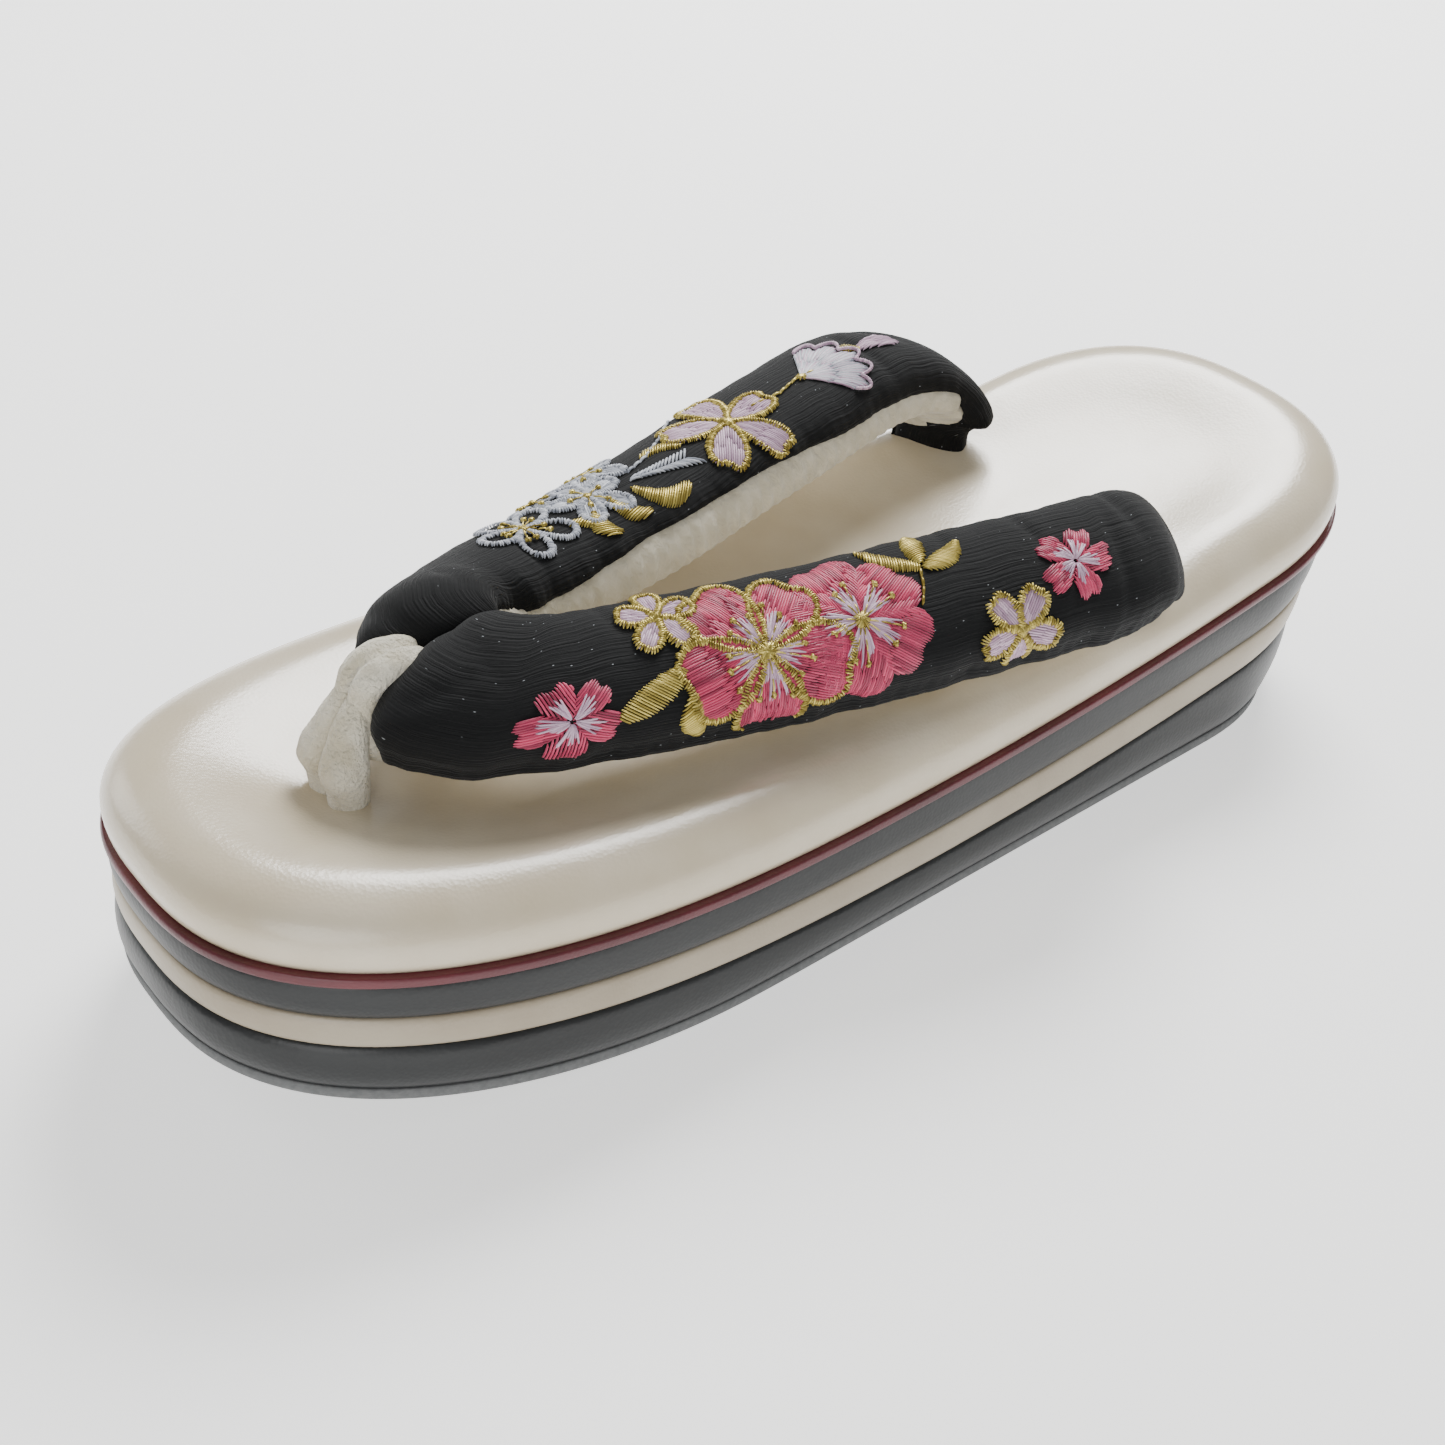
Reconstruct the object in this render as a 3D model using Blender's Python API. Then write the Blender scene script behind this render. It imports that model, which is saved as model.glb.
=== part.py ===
"""Left zori sandal, in metres: toe towards -Y, wearer's left towards +X, +Z up.

The origin is on the floor under the middle of the sole. The sole is a stack of sheets that
follow one red line; the strap is one padded V that a velvet loop holds at the toe.
"""
import math

import bmesh
import bpy
from mathutils import Vector

# Sole outline
LENGTH = 0.240
BALL_WIDTH = 0.0876
BALL_PLACE = 0.072
HEEL_WIDTH = 0.0748
TOE_CAP = 0.104
TOE_POWER = 2.67
HEEL_CAP = 0.037
HEEL_POWER = 2.5

# Height of the sheet line that the foot bed sits on, at toe, waist and heel
LINE_TOE = 0.0343
LINE_WAIST = 0.0256
LINE_HEEL = 0.0392
TOE_SPRING = 0.0110
SPRING_START = 0.084
SPRING_POWER = 1.6
HEEL_RAKE = 0.0105
TOE_RAKE = -0.0012

# Sheets of the sole
WELT_THICK = 0.0018
WELT_PROUD = 0.0006
UPPER_THICK_TOE = 0.0064
UPPER_THICK_HEEL = 0.0106
MIDDLE_THICK_TOE = 0.0052
MIDDLE_THICK_HEEL = 0.0072
OUTSOLE_THICK = 0.0020
OUTSOLE_INSET = 0.0006
EDGE_ROUND = 0.0007
THIN_EDGE_ROUND = 0.00035
GAP = 0.0003

# Foot bed
PAD_HEIGHT = 0.0114
PAD_DISH = 0.0030

# Strap, as a padded V with a cover above the seam and a lining below it
STRAP_WIDTH = 0.0278
STRAP_RISE = 0.0124
STRAP_SPREAD = 0.0330
STRAP_LEAN = 7.5
STRAP_DROP = 0.0020
STRAP_LIFT = 0.0020
STRAP_SKEW = 0.0022
COVER_CROWN = 0.0100
COVER_WALL = 0.0013
COVER_SWELL = 0.07
COVER_ROUNDNESS = 0.8
LINING_BELLY = 0.0054
BELLY_ROUNDNESS = 0.5
LINING_GAP = 0.0007
NECK_WIDTH = 0.0160
NECK_CROWN = 0.0045
NECK_BELLY = 0.0036
NECK_LIFT = 0.0009
NECK_SINK = 0.0070
SLOT_ROOM = 0.0012
BRIDGE_HOLE_LENGTH = 0.0116
BRIDGE_HOLE_WIDTH = 0.0112
BRIDGE_HOLE_SHIFT = -0.0014

# Velvet loop at the toe: LOOP_AHEAD is from the strap's middle at the toe to the loop's foot,
# EYE_PLACE from there back to the middle of the eye, and EYE_SQUARE makes the eye less round
LOOP_AHEAD = 0.01876
LOOP_ROOM = 0.0006
STEM_WIDTH = 0.0105
STEM_DEPTH = 0.0080
STRAND_WIDTH = 0.0084
STRAND_THICK = 0.0052
EYE_LENGTH = 0.0160
EYE_HEIGHT = 0.0176
EYE_PLACE = 0.0095
EYE_RISE = 0.0117
EYE_SQUARE = 0.75

# Fineness of the meshes, and the angles in degrees above which their edges stay sharp
OUTLINE_STEPS = 36
COVER_ARC_STEPS = 10
BELLY_ARC_STEPS = 7
STRAND_SIDES = 12
POST_SIDES = 24
EYE_STEPS = 20
SHEET_SHARP = 45.0
PAD_SHARP = 60.0
STRAP_SHARP = 50.0

# Side of each sheet: share of its thickness, and share of EDGE_ROUND that it is set in
SHEET_SIDE = (
    {"up": 0.00, "inset": 1.0},
    {"up": 0.18, "inset": 0.2},
    {"up": 0.50, "inset": 0.0},
    {"up": 0.82, "inset": 0.2},
    {"up": 1.00, "inset": 1.0},
)

# Foot bed from its lower edge over the rolled rim to the dish: share of PAD_HEIGHT, share of
# PAD_DISH that is taken off, and share of half the ball width that the ring is set in
PAD_SIDE = (
    {"up": 0.00, "dish": 0.0, "inset": 0.020},
    {"up": 0.14, "dish": 0.0, "inset": 0.004},
    {"up": 0.40, "dish": 0.0, "inset": 0.000},
    {"up": 0.64, "dish": 0.0, "inset": 0.024},
    {"up": 0.83, "dish": 0.0, "inset": 0.072},
    {"up": 0.95, "dish": 0.0, "inset": 0.140},
    {"up": 1.00, "dish": 0.0, "inset": 0.225},
    {"up": 1.00, "dish": 0.2, "inset": 0.340},
    {"up": 1.00, "dish": 0.7, "inset": 0.540},
    {"up": 1.00, "dish": 1.0, "inset": 0.760},
)

# Half of the strap from the toe to its end. along: share of LENGTH behind the middle of the
# sole; spread: share of STRAP_SPREAD to the side; rise: share of STRAP_RISE above the foot
# bed; width: share of STRAP_WIDTH; crown: share of COVER_CROWN; fan: degrees that the width
# turns towards the toe; tilt: degrees that the outer edge hangs; lean: share of STRAP_LEAN
# that the left half hangs steeper and the right half flatter, and of STRAP_DROP that the left
# half hangs lower; lift: share of STRAP_LIFT that the right half stands higher
STRAP_SECTIONS = (
    {"along": -0.2835, "spread": 0.000, "rise": 1.00, "width": 0.90, "crown": 0.40,
     "fan": 90, "tilt": 12, "lean": 0.0, "lift": 0.0},
    {"along": -0.2865, "spread": 0.082, "rise": 1.01, "width": 0.93, "crown": 0.46,
     "fan": 82, "tilt": 13, "lean": 0.0, "lift": 0.0},
    {"along": -0.2960, "spread": 0.148, "rise": 1.03, "width": 1.12, "crown": 0.76,
     "fan": 77, "tilt": 15, "lean": 0.1, "lift": 0.0},
    {"along": -0.2905, "spread": 0.224, "rise": 1.03, "width": 1.13, "crown": 0.90,
     "fan": 70, "tilt": 17, "lean": 0.2, "lift": 0.0},
    {"along": -0.2740, "spread": 0.300, "rise": 1.02, "width": 1.05, "crown": 0.95,
     "fan": 59, "tilt": 18, "lean": 0.3, "lift": -0.2},
    {"along": -0.2480, "spread": 0.361, "rise": 1.01, "width": 0.94, "crown": 0.98,
     "fan": 43, "tilt": 18, "lean": 0.4, "lift": -0.5},
    {"along": -0.2165, "spread": 0.415, "rise": 1.01, "width": 0.89, "crown": 1.00,
     "fan": 27, "tilt": 17, "lean": 0.6, "lift": -0.7},
    {"along": -0.1690, "spread": 0.485, "rise": 1.01, "width": 0.90, "crown": 1.00,
     "fan": 16, "tilt": 15, "lean": 0.8, "lift": -0.7},
    {"along": -0.0830, "spread": 0.605, "rise": 1.00, "width": 0.92, "crown": 1.00,
     "fan": 15, "tilt": 13, "lean": 1.0, "lift": -0.2},
    {"along": 0.0080, "spread": 0.755, "rise": 1.00, "width": 0.94, "crown": 1.00,
     "fan": 14, "tilt": 12, "lean": 1.0, "lift": 0.5},
    {"along": 0.1000, "spread": 0.898, "rise": 0.98, "width": 0.94, "crown": 1.00,
     "fan": 14, "tilt": 11, "lean": 1.1, "lift": 1.0},
    {"along": 0.1600, "spread": 0.985, "rise": 0.93, "width": 0.94, "crown": 0.98,
     "fan": 15, "tilt": 11, "lean": 1.2, "lift": 1.2},
    {"along": 0.1980, "spread": 0.998, "rise": 0.80, "width": 0.95, "crown": 0.92,
     "fan": 19, "tilt": 11, "lean": 1.0, "lift": 1.0},
    {"along": 0.2220, "spread": 0.970, "rise": 0.58, "width": 0.96, "crown": 0.76,
     "fan": 23, "tilt": 10, "lean": 0.6, "lift": 0.6},
    {"along": 0.2340, "spread": 0.940, "rise": 0.40, "width": 0.96, "crown": 0.60,
     "fan": 26, "tilt": 7, "lean": 0.2, "lift": 0.2},
    {"along": 0.2380, "spread": 0.925, "rise": 0.25, "width": 0.94, "crown": 0.48,
     "fan": 27, "tilt": 2, "lean": 0.0, "lift": 0.0},
)

# The loop's foot. up: share of the way to the foot bed's rim, and past 1 a share of
# EYE_HEIGHT above it; forward: share of the way from the hole to the eye's front strand
STEM_SIDE = (
    {"up": 0.00, "forward": 0.0, "size": 1.00},
    {"up": 0.70, "forward": 0.0, "size": 1.00},
    {"up": 0.98, "forward": 0.2, "size": 0.93},
    {"up": 1.18, "forward": 0.7, "size": 0.80},
    {"up": 1.34, "forward": 1.0, "size": 0.50},
)

# The strap's end in its slot of the foot bed, under the last section, in shares and degrees
NECK = {"spread": 0.890, "fan": 27.0}


def between(toe, heel, share):
    """The value at a share of the way from the toe's value to the heel's."""
    return toe + (heel - toe) * share


def share_at(y):
    """Share of the length from toe to heel at a place along the sandal."""
    return y / LENGTH + 0.5


def half_width(share):
    """Half the outline's width at a share of the length from toe to heel."""
    behind_ball = (share * LENGTH - BALL_PLACE) / (LENGTH - BALL_PLACE)
    body = between(BALL_WIDTH, HEEL_WIDTH, behind_ball) / 2
    from_toe = max(0.0, 1 - share * LENGTH / TOE_CAP)
    from_heel = max(0.0, 1 - (1 - share) * LENGTH / HEEL_CAP)
    toe = max(0.0, 1 - from_toe ** TOE_POWER) ** (1 / TOE_POWER)
    heel = max(0.0, 1 - from_heel ** HEEL_POWER) ** (1 / HEEL_POWER)
    return body * toe * heel


def line_height(share):
    """Height of the line that the foot bed sits on: a soft curve through three heights."""
    toe = LINE_TOE * (1 - share) * (1 - 2 * share)
    waist = LINE_WAIST * 4 * share * (1 - share)
    heel = LINE_HEEL * share * (2 * share - 1)
    return toe + waist + heel


def ground_height(share):
    """Underside of the sole: flat from the heel to the forefoot, then up to the toe."""
    reach = max(0.0, 1 - share * LENGTH / SPRING_START)
    return TOE_SPRING * reach ** SPRING_POWER


def pad_height(y):
    """Height of the foot bed's rim at a place along the sandal."""
    return line_height(min(1.0, max(0.0, share_at(y)))) + PAD_HEIGHT


def sheet_levels(share):
    """Heights of the faces between the sheets, from the floor up, before any gap."""
    line = line_height(share)
    under_welt = line - WELT_THICK
    under_upper = under_welt - between(UPPER_THICK_TOE, UPPER_THICK_HEEL, share)
    under_middle = under_upper - between(MIDDLE_THICK_TOE, MIDDLE_THICK_HEEL, share)
    ground = ground_height(share)
    return {
        "line": line,
        "under_welt": under_welt,
        "under_upper": under_upper,
        "under_middle": under_middle,
        "over_outsole": ground + OUTSOLE_THICK,
        "ground": ground,
    }


def outline_ring(height_at, inset):
    """One closed ring of the outline, set in all round, with a height for each place."""
    ring = []
    shares = [(1 - math.cos(math.pi * i / OUTLINE_STEPS)) / 2 for i in range(OUTLINE_STEPS + 1)]
    for side in (1, -1):
        run = shares if side > 0 else shares[-2:0:-1]
        for share in run:
            y = between(inset - LENGTH / 2, LENGTH / 2 - inset, share)
            place = share_at(y)
            height = height_at(place)
            drop = max(0.0, 1 - height / line_height(place))
            y += between(TOE_RAKE, -HEEL_RAKE, share) * drop
            width = half_width(share) * (1 - 2 * inset / BALL_WIDTH)
            ring.append(Vector((side * width, y, height)))
    return ring


def material(name, colour, roughness, sheen=0.0):
    made = bpy.data.materials.new(name)
    made.use_nodes = True
    shader = made.node_tree.nodes["Principled BSDF"]
    shader.inputs["Base Color"].default_value = (*colour, 1.0)
    shader.inputs["Roughness"].default_value = roughness
    shader.inputs["Metallic"].default_value = 0.0
    shader.inputs["Sheen Weight"].default_value = sheen
    made.diffuse_color = (*colour, 1.0)
    return made


def finish(name, mesh, surface, sharp=SHEET_SHARP):
    """Put a closed mesh into the scene under its name, with outward faces."""
    mesh.normal_update()
    bmesh.ops.recalc_face_normals(mesh, faces=mesh.faces)
    data = bpy.data.meshes.new(name)
    mesh.to_mesh(data)
    mesh.free()
    data.shade_smooth()
    data.set_sharp_from_angle(angle=math.radians(sharp))
    data.materials.append(surface)
    made = bpy.data.objects.new(name, data)
    bpy.context.scene.collection.objects.link(made)
    return made


def bridge(mesh, first, second):
    """Join two rings of the same count with a band of faces."""
    count = len(first)
    for i in range(count):
        j = (i + 1) % count
        mesh.faces.new((first[i], first[j], second[j], second[i]))


def cap_across(mesh, ring):
    """Close an outline ring with strips that run straight across the sandal."""
    count = len(ring)
    for i in range(count // 2):
        corners = [ring[i], ring[i + 1], ring[-i - 1], ring[-i % count]]
        kept = []
        for corner in corners:
            if corner not in kept:
                kept.append(corner)
        mesh.faces.new(kept)


def loft(rings, closed_ends=None, endless=False):
    """Skin a row of rings; closed_ends closes the first and last ring."""
    mesh = bmesh.new()
    made = [[mesh.verts.new(point) for point in ring] for ring in rings]
    for first, second in zip(made, made[1:]):
        bridge(mesh, first, second)
    if endless:
        bridge(mesh, made[-1], made[0])
    if closed_ends:
        closed_ends(mesh, made[0])
        closed_ends(mesh, made[-1])
    return mesh


def cap_flat(mesh, ring):
    mesh.faces.new(ring)


def cut(target, cutters, operation="DIFFERENCE"):
    for cutter in cutters:
        cutter.hide_render = True
        cutter.display_type = "WIRE"
        change = target.modifiers.new(cutter.name, "BOOLEAN")
        change.operation = operation
        change.solver = "EXACT"
        change.object = cutter


def sheet(name, bottom, top, surface, proud=0.0, rounding=EDGE_ROUND, below=GAP):
    """One sheet of the sole between two named levels."""
    rings = []
    for row in SHEET_SIDE:
        def height_at(share, row=row):
            levels = sheet_levels(share)
            return between(levels[bottom] + below, levels[top], row["up"])
        rings.append(outline_ring(height_at, rounding * row["inset"] - proud))
    return finish(name, loft(rings, cap_across), surface)


def foot_bed(surface):
    rings = []
    for row in PAD_SIDE:
        def height_at(share, row=row):
            lift = GAP + (PAD_HEIGHT - GAP) * row["up"] - PAD_DISH * row["dish"]
            return line_height(share) + lift
        rings.append(outline_ring(height_at, row["inset"] * BALL_WIDTH / 2))
    return finish("top_pad", loft(rings, cap_across), surface, PAD_SHARP)


def strap_y(along, side):
    """Place of a section along the sandal; the right half ends further back than the left."""
    back = max(0.0, along) / STRAP_SECTIONS[-1]["along"]
    return along * LENGTH - side * STRAP_SKEW * back


def strap_frames(side):
    """Centre, width direction, outward direction and sizes of each section of the half strap."""
    rows = []
    for row in STRAP_SECTIONS:
        y = strap_y(row["along"], side)
        shift = -row["lean"] * STRAP_DROP if side > 0 else row["lift"] * STRAP_LIFT
        rise = row["rise"] * STRAP_RISE + shift
        centre = Vector((row["spread"] * STRAP_SPREAD, y, pad_height(y) + rise))
        rows.append({
            "centre": centre,
            "fan": row["fan"],
            "tilt": row["tilt"] + side * row["lean"] * STRAP_LEAN,
            "width": row["width"] * STRAP_WIDTH,
            "crown": row["crown"] * COVER_CROWN,
            "belly": LINING_BELLY,
        })
    neck_y = strap_y(STRAP_SECTIONS[-1]["along"], side)
    for sink in (-NECK_LIFT, NECK_SINK):
        rows.append({
            "centre": Vector((NECK["spread"] * STRAP_SPREAD, neck_y, pad_height(neck_y) - sink)),
            "fan": NECK["fan"],
            "tilt": 0.0,
            "width": NECK_WIDTH,
            "crown": NECK_CROWN,
            "belly": NECK_BELLY,
        })
    for i, row in enumerate(rows):
        fan = math.radians(row["fan"])
        tilt = math.radians(row["tilt"])
        level = math.cos(tilt)
        across = Vector((math.cos(fan) * level, -math.sin(fan) * level, -math.sin(tilt)))
        if i == 0:
            along = Vector((1, 0, 0))
        elif i >= len(STRAP_SECTIONS) - 1:
            along = Vector((0, 0, -1))
        else:
            along = rows[i + 1]["centre"] - rows[i - 1]["centre"]
        along = (along - across * along.dot(across)).normalized()
        row["across"] = across
        row["outward"] = across.cross(along)
    return rows


def section_point(row, across, outward):
    return row["centre"] + row["across"] * across + row["outward"] * outward


def arc(row, half, height, steps, power=COVER_ROUNDNESS):
    """Points over a padded arch, from its outer edge to its inner edge."""
    points = []
    for i in range(steps + 1):
        angle = math.pi * i / steps
        lift = math.sin(angle) if 0 < i < steps else 0.0
        reach = half * math.cos(angle) * (1 + COVER_SWELL * lift)
        points.append(section_point(row, reach, height * lift ** power))
    return points


def cover_ring(row):
    outside = arc(row, row["width"] / 2, row["crown"], COVER_ARC_STEPS)
    inside = arc(row, row["width"] / 2 - COVER_WALL, row["crown"] - COVER_WALL, COVER_ARC_STEPS)
    return outside + inside[::-1]


def lining_ring(row):
    inset = COVER_WALL + LINING_GAP
    over = arc(row, row["width"] / 2 - inset, row["crown"] - inset, COVER_ARC_STEPS)
    under = arc(row, row["width"] / 2 - inset, -row["belly"], BELLY_ARC_STEPS, BELLY_ROUNDNESS)
    return over + under[-2:0:-1]


def mirrored(ring):
    return [Vector((-point.x, point.y, point.z)) for point in ring]


def strap(name, ring_of, surface):
    """The whole V, from the end on one side over the toe to the end on the other."""
    left = [ring_of(row) for row in strap_frames(1)]
    right = [mirrored(ring_of(row)) for row in strap_frames(-1)]
    return finish(name, loft(right[:0:-1] + left, cap_flat), surface, STRAP_SHARP)


def oval(centre, across, along, width, depth, sides):
    """An oval ring round a centre, in the plane of two directions."""
    points = []
    for i in range(sides):
        angle = 2 * math.pi * i / sides
        sideways = across * (width / 2 * math.cos(angle))
        points.append(centre + sideways + along * (depth / 2 * math.sin(angle)))
    return points


def post(name, x, y, low, high, width, depth, turn=0.0):
    """An upright oval post: the guide for a hole that something sits in."""
    across = Vector((math.cos(turn), -math.sin(turn), 0))
    along = Vector((math.sin(turn), math.cos(turn), 0))
    rings = [oval(Vector((x, y, z)), across, along, width, depth, POST_SIDES) for z in (low, high)]
    return finish(name, loft(rings, cap_flat), guide_surface)


def loop_place():
    """Where the loop's foot stands, in front of the strap's middle at the toe."""
    return STRAP_SECTIONS[0]["along"] * LENGTH - LOOP_AHEAD


def eye_centre():
    place = loop_place() + EYE_PLACE
    return Vector((0, place, pad_height(place) + EYE_RISE))


def stem(name, floor, surface):
    """The loop's foot in the foot bed; its top ends inside the eye's front strand."""
    foot = loop_place()
    front = eye_centre().y - EYE_LENGTH / 2
    bed_top = pad_height(foot)
    rings = []
    for row in STEM_SIDE:
        z = between(floor, bed_top, row["up"])
        if row["up"] > 1:
            z = bed_top + (row["up"] - 1) * EYE_HEIGHT
        centre = Vector((0, between(foot, front, row["forward"]), z))
        width = STEM_WIDTH * row["size"]
        depth = STEM_DEPTH * row["size"]
        rings.append(oval(centre, Vector((1, 0, 0)), Vector((0, 1, 0)), width, depth, POST_SIDES))
    return finish(name, loft(rings, cap_flat), surface)


def loop_eye(surface):
    """The ring of velvet that the joined straps pass through."""
    middle = eye_centre()
    rings = []
    for i in range(EYE_STEPS):
        angle = 2 * math.pi * i / EYE_STEPS
        out = Vector((0, math.cos(angle), math.sin(angle)))
        forward = math.copysign(abs(out.y) ** EYE_SQUARE, out.y)
        upward = math.copysign(abs(out.z) ** EYE_SQUARE, out.z)
        reach = Vector((0, forward * EYE_LENGTH / 2, upward * EYE_HEIGHT / 2))
        rings.append(oval(middle + reach, Vector((1, 0, 0)), out, STRAND_WIDTH, STRAND_THICK,
                          STRAND_SIDES))
    return finish("loop_eye", loft(rings, endless=True), surface)


for old in list(bpy.data.objects):
    bpy.data.objects.remove(old, do_unlink=True)

guide_surface = material("guide", (0.5, 0.5, 0.5), 0.5)
charcoal = (0.045, 0.052, 0.052)

sheet("outsole", "ground", "over_outsole", material("rubber", (0.20, 0.21, 0.21), 0.8),
      -OUTSOLE_INSET, THIN_EDGE_ROUND, 0.0)
sheet("bottom_layer", "over_outsole", "under_middle", material("black_wedge", charcoal, 0.45))
sheet("middle_layer", "under_middle", "under_upper", material("pale_band", (0.62, 0.59, 0.54), 0.4))
sheet("upper_layer", "under_upper", "under_welt", material("black_band", charcoal, 0.45))
sheet("red_welt", "under_welt", "line", material("red_edge", (0.16, 0.03, 0.04), 0.5),
      WELT_PROUD, THIN_EDGE_ROUND)

bed = foot_bed(material("pearl_top", (0.78, 0.74, 0.65), 0.3))
cover = strap("strap_cover", cover_ring, material("black_crepe", (0.012, 0.013, 0.014), 0.9))
lining = strap("strap_lining", lining_ring, material("pale_flannel", (0.70, 0.67, 0.56), 0.95, 0.3))

velvet = material("cream_velvet", (0.80, 0.78, 0.68), 0.9, 0.5)
floor_of_hole = line_height(share_at(loop_place())) + 2 * GAP
loop = stem("toe_loop", floor_of_hole, velvet)
cut(loop, [loop_eye(velvet)], "UNION")

above_bed = pad_height(loop_place()) + PAD_HEIGHT
holes = [post("toe_hole", 0, loop_place(), 0.0, above_bed, STEM_WIDTH + LOOP_ROOM,
              STEM_DEPTH + LOOP_ROOM)]
for name, side in (("side_slot_left", 1), ("side_slot_right", -1)):
    holes.append(post(
        name, side * NECK["spread"] * STRAP_SPREAD, strap_y(STRAP_SECTIONS[-1]["along"], side),
        0.0, above_bed, NECK_WIDTH + SLOT_ROOM, 2 * NECK_CROWN + SLOT_ROOM,
        side * math.radians(NECK["fan"])))
cut(bed, holes)

eye_hole_place = eye_centre().y + EYE_LENGTH / 2 + BRIDGE_HOLE_SHIFT
for piece in (cover, lining):
    cut(piece, [post(
        piece.name + "_hole", 0, eye_hole_place, eye_centre().z - EYE_HEIGHT,
        eye_centre().z + EYE_HEIGHT, BRIDGE_HOLE_WIDTH, BRIDGE_HOLE_LENGTH)])
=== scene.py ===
import math
import random

import bmesh
import bpy
import numpy as np
from mathutils import Matrix, Quaternion, Vector, noise


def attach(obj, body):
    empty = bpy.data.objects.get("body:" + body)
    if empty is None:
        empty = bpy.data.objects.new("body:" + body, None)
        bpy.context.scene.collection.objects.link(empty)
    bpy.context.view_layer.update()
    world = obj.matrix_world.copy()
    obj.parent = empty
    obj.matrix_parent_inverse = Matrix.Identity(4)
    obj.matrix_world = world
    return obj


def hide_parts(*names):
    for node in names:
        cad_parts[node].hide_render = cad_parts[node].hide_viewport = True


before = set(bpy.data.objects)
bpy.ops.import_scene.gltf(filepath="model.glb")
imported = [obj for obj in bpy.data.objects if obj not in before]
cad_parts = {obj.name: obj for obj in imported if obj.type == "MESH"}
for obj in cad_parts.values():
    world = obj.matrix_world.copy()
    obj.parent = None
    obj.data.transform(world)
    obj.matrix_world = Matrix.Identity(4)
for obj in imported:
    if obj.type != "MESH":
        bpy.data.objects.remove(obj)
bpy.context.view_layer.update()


# Camera, floor and light
# The camera stands where the photo's camera stood, high in front of the left side, and is
# turned to the one sandal. A soft panel beyond the heel is the key light; two weaker ones and
# the bright paper floor fill the shadows.
CAMERA_PLACE = Vector((0.2251, -0.1982, 0.2346))
CAMERA_TARGET = Vector((0.0123, -0.0230, 0.0300))
CAMERA_ROLL = 2.86
CAMERA_LENS = 52.0
SENSOR = 36.0
NEAR_CLIP = 0.01
LIGHTS = (
    {"name": "back_panel", "place": (-0.45, 0.55, 0.75), "size": 0.55, "power": 17.0},
    {"name": "front_fill", "place": (0.80, -0.70, 0.45), "size": 0.80, "power": 5.0},
    {"name": "left_fill", "place": (-0.90, -0.45, 0.40), "size": 0.60, "power": 3.0},
)
LIGHT_TARGET = Vector((0, 0, 0.03))
WORLD_COLOUR = "#F4F5F6"
WORLD_STRENGTH = 0.42
FLOOR_SIZE = 6.0
FLOOR_COLOUR = "#F6F6F5"
FLOOR_GLOW = 0.95


def linear(code):
    """A colour written as sRGB hex, in the linear values that shaders take."""
    parts = [int(code[i:i + 2], 16) / 255 for i in (1, 3, 5)]
    parts = [p / 12.92 if p <= 0.04045 else ((p + 0.055) / 1.055) ** 2.4 for p in parts]
    return (*parts, 1.0)


def aim(made, place, target, roll=0.0):
    """Put a camera or light at a place, turned to a target and rolled by degrees."""
    made.location = place
    made.rotation_mode = "QUATERNION"
    turn = (target - Vector(place)).to_track_quat("-Z", "Y")
    made.rotation_quaternion = turn @ Quaternion((0, 0, 1), math.radians(roll))


def new_material(name, **values):
    """A material with values for its shader's sockets; an underscore stands for a space."""
    made = bpy.data.materials.new(name)
    made.use_nodes = True
    shader = made.node_tree.nodes["Principled BSDF"]
    for socket, value in values.items():
        shader.inputs[socket.replace("_", " ")].default_value = value
    return made


def show(name, data):
    """An object in the scene with a mesh, a light or a camera."""
    made = bpy.data.objects.new(name, data)
    bpy.context.scene.collection.objects.link(made)
    return made


camera = show("camera", bpy.data.cameras.new("camera"))
camera.data.lens = CAMERA_LENS
camera.data.sensor_width = SENSOR
camera.data.clip_start = NEAR_CLIP
aim(camera, CAMERA_PLACE, CAMERA_TARGET, CAMERA_ROLL)
bpy.context.scene.camera = camera

for row in LIGHTS:
    lamp = bpy.data.lights.new(row["name"], "AREA")
    lamp.shape = "DISK"
    lamp.size = row["size"]
    lamp.energy = row["power"]
    aim(show(row["name"], lamp), row["place"], LIGHT_TARGET)

world = bpy.data.worlds.new("studio")
world.use_nodes = True
world.node_tree.nodes["Background"].inputs["Color"].default_value = linear(WORLD_COLOUR)
world.node_tree.nodes["Background"].inputs["Strength"].default_value = WORLD_STRENGTH
bpy.context.scene.world = world

floor_mesh = bpy.data.meshes.new("floor")
floor_mesh.from_pydata(
    [(x, y, 0) for x, y in ((-1, -1), (1, -1), (1, 1), (-1, 1))], [], [(0, 1, 2, 3)])
floor_mesh.transform(Matrix.Scale(FLOOR_SIZE / 2, 4))
floor_mesh.materials.append(
    new_material("matt_paper", Base_Color=linear(FLOOR_COLOUR), Roughness=0.9,
                 Emission_Color=linear(FLOOR_COLOUR), Emission_Strength=FLOOR_GLOW))
floor = show("floor", floor_mesh)


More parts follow.
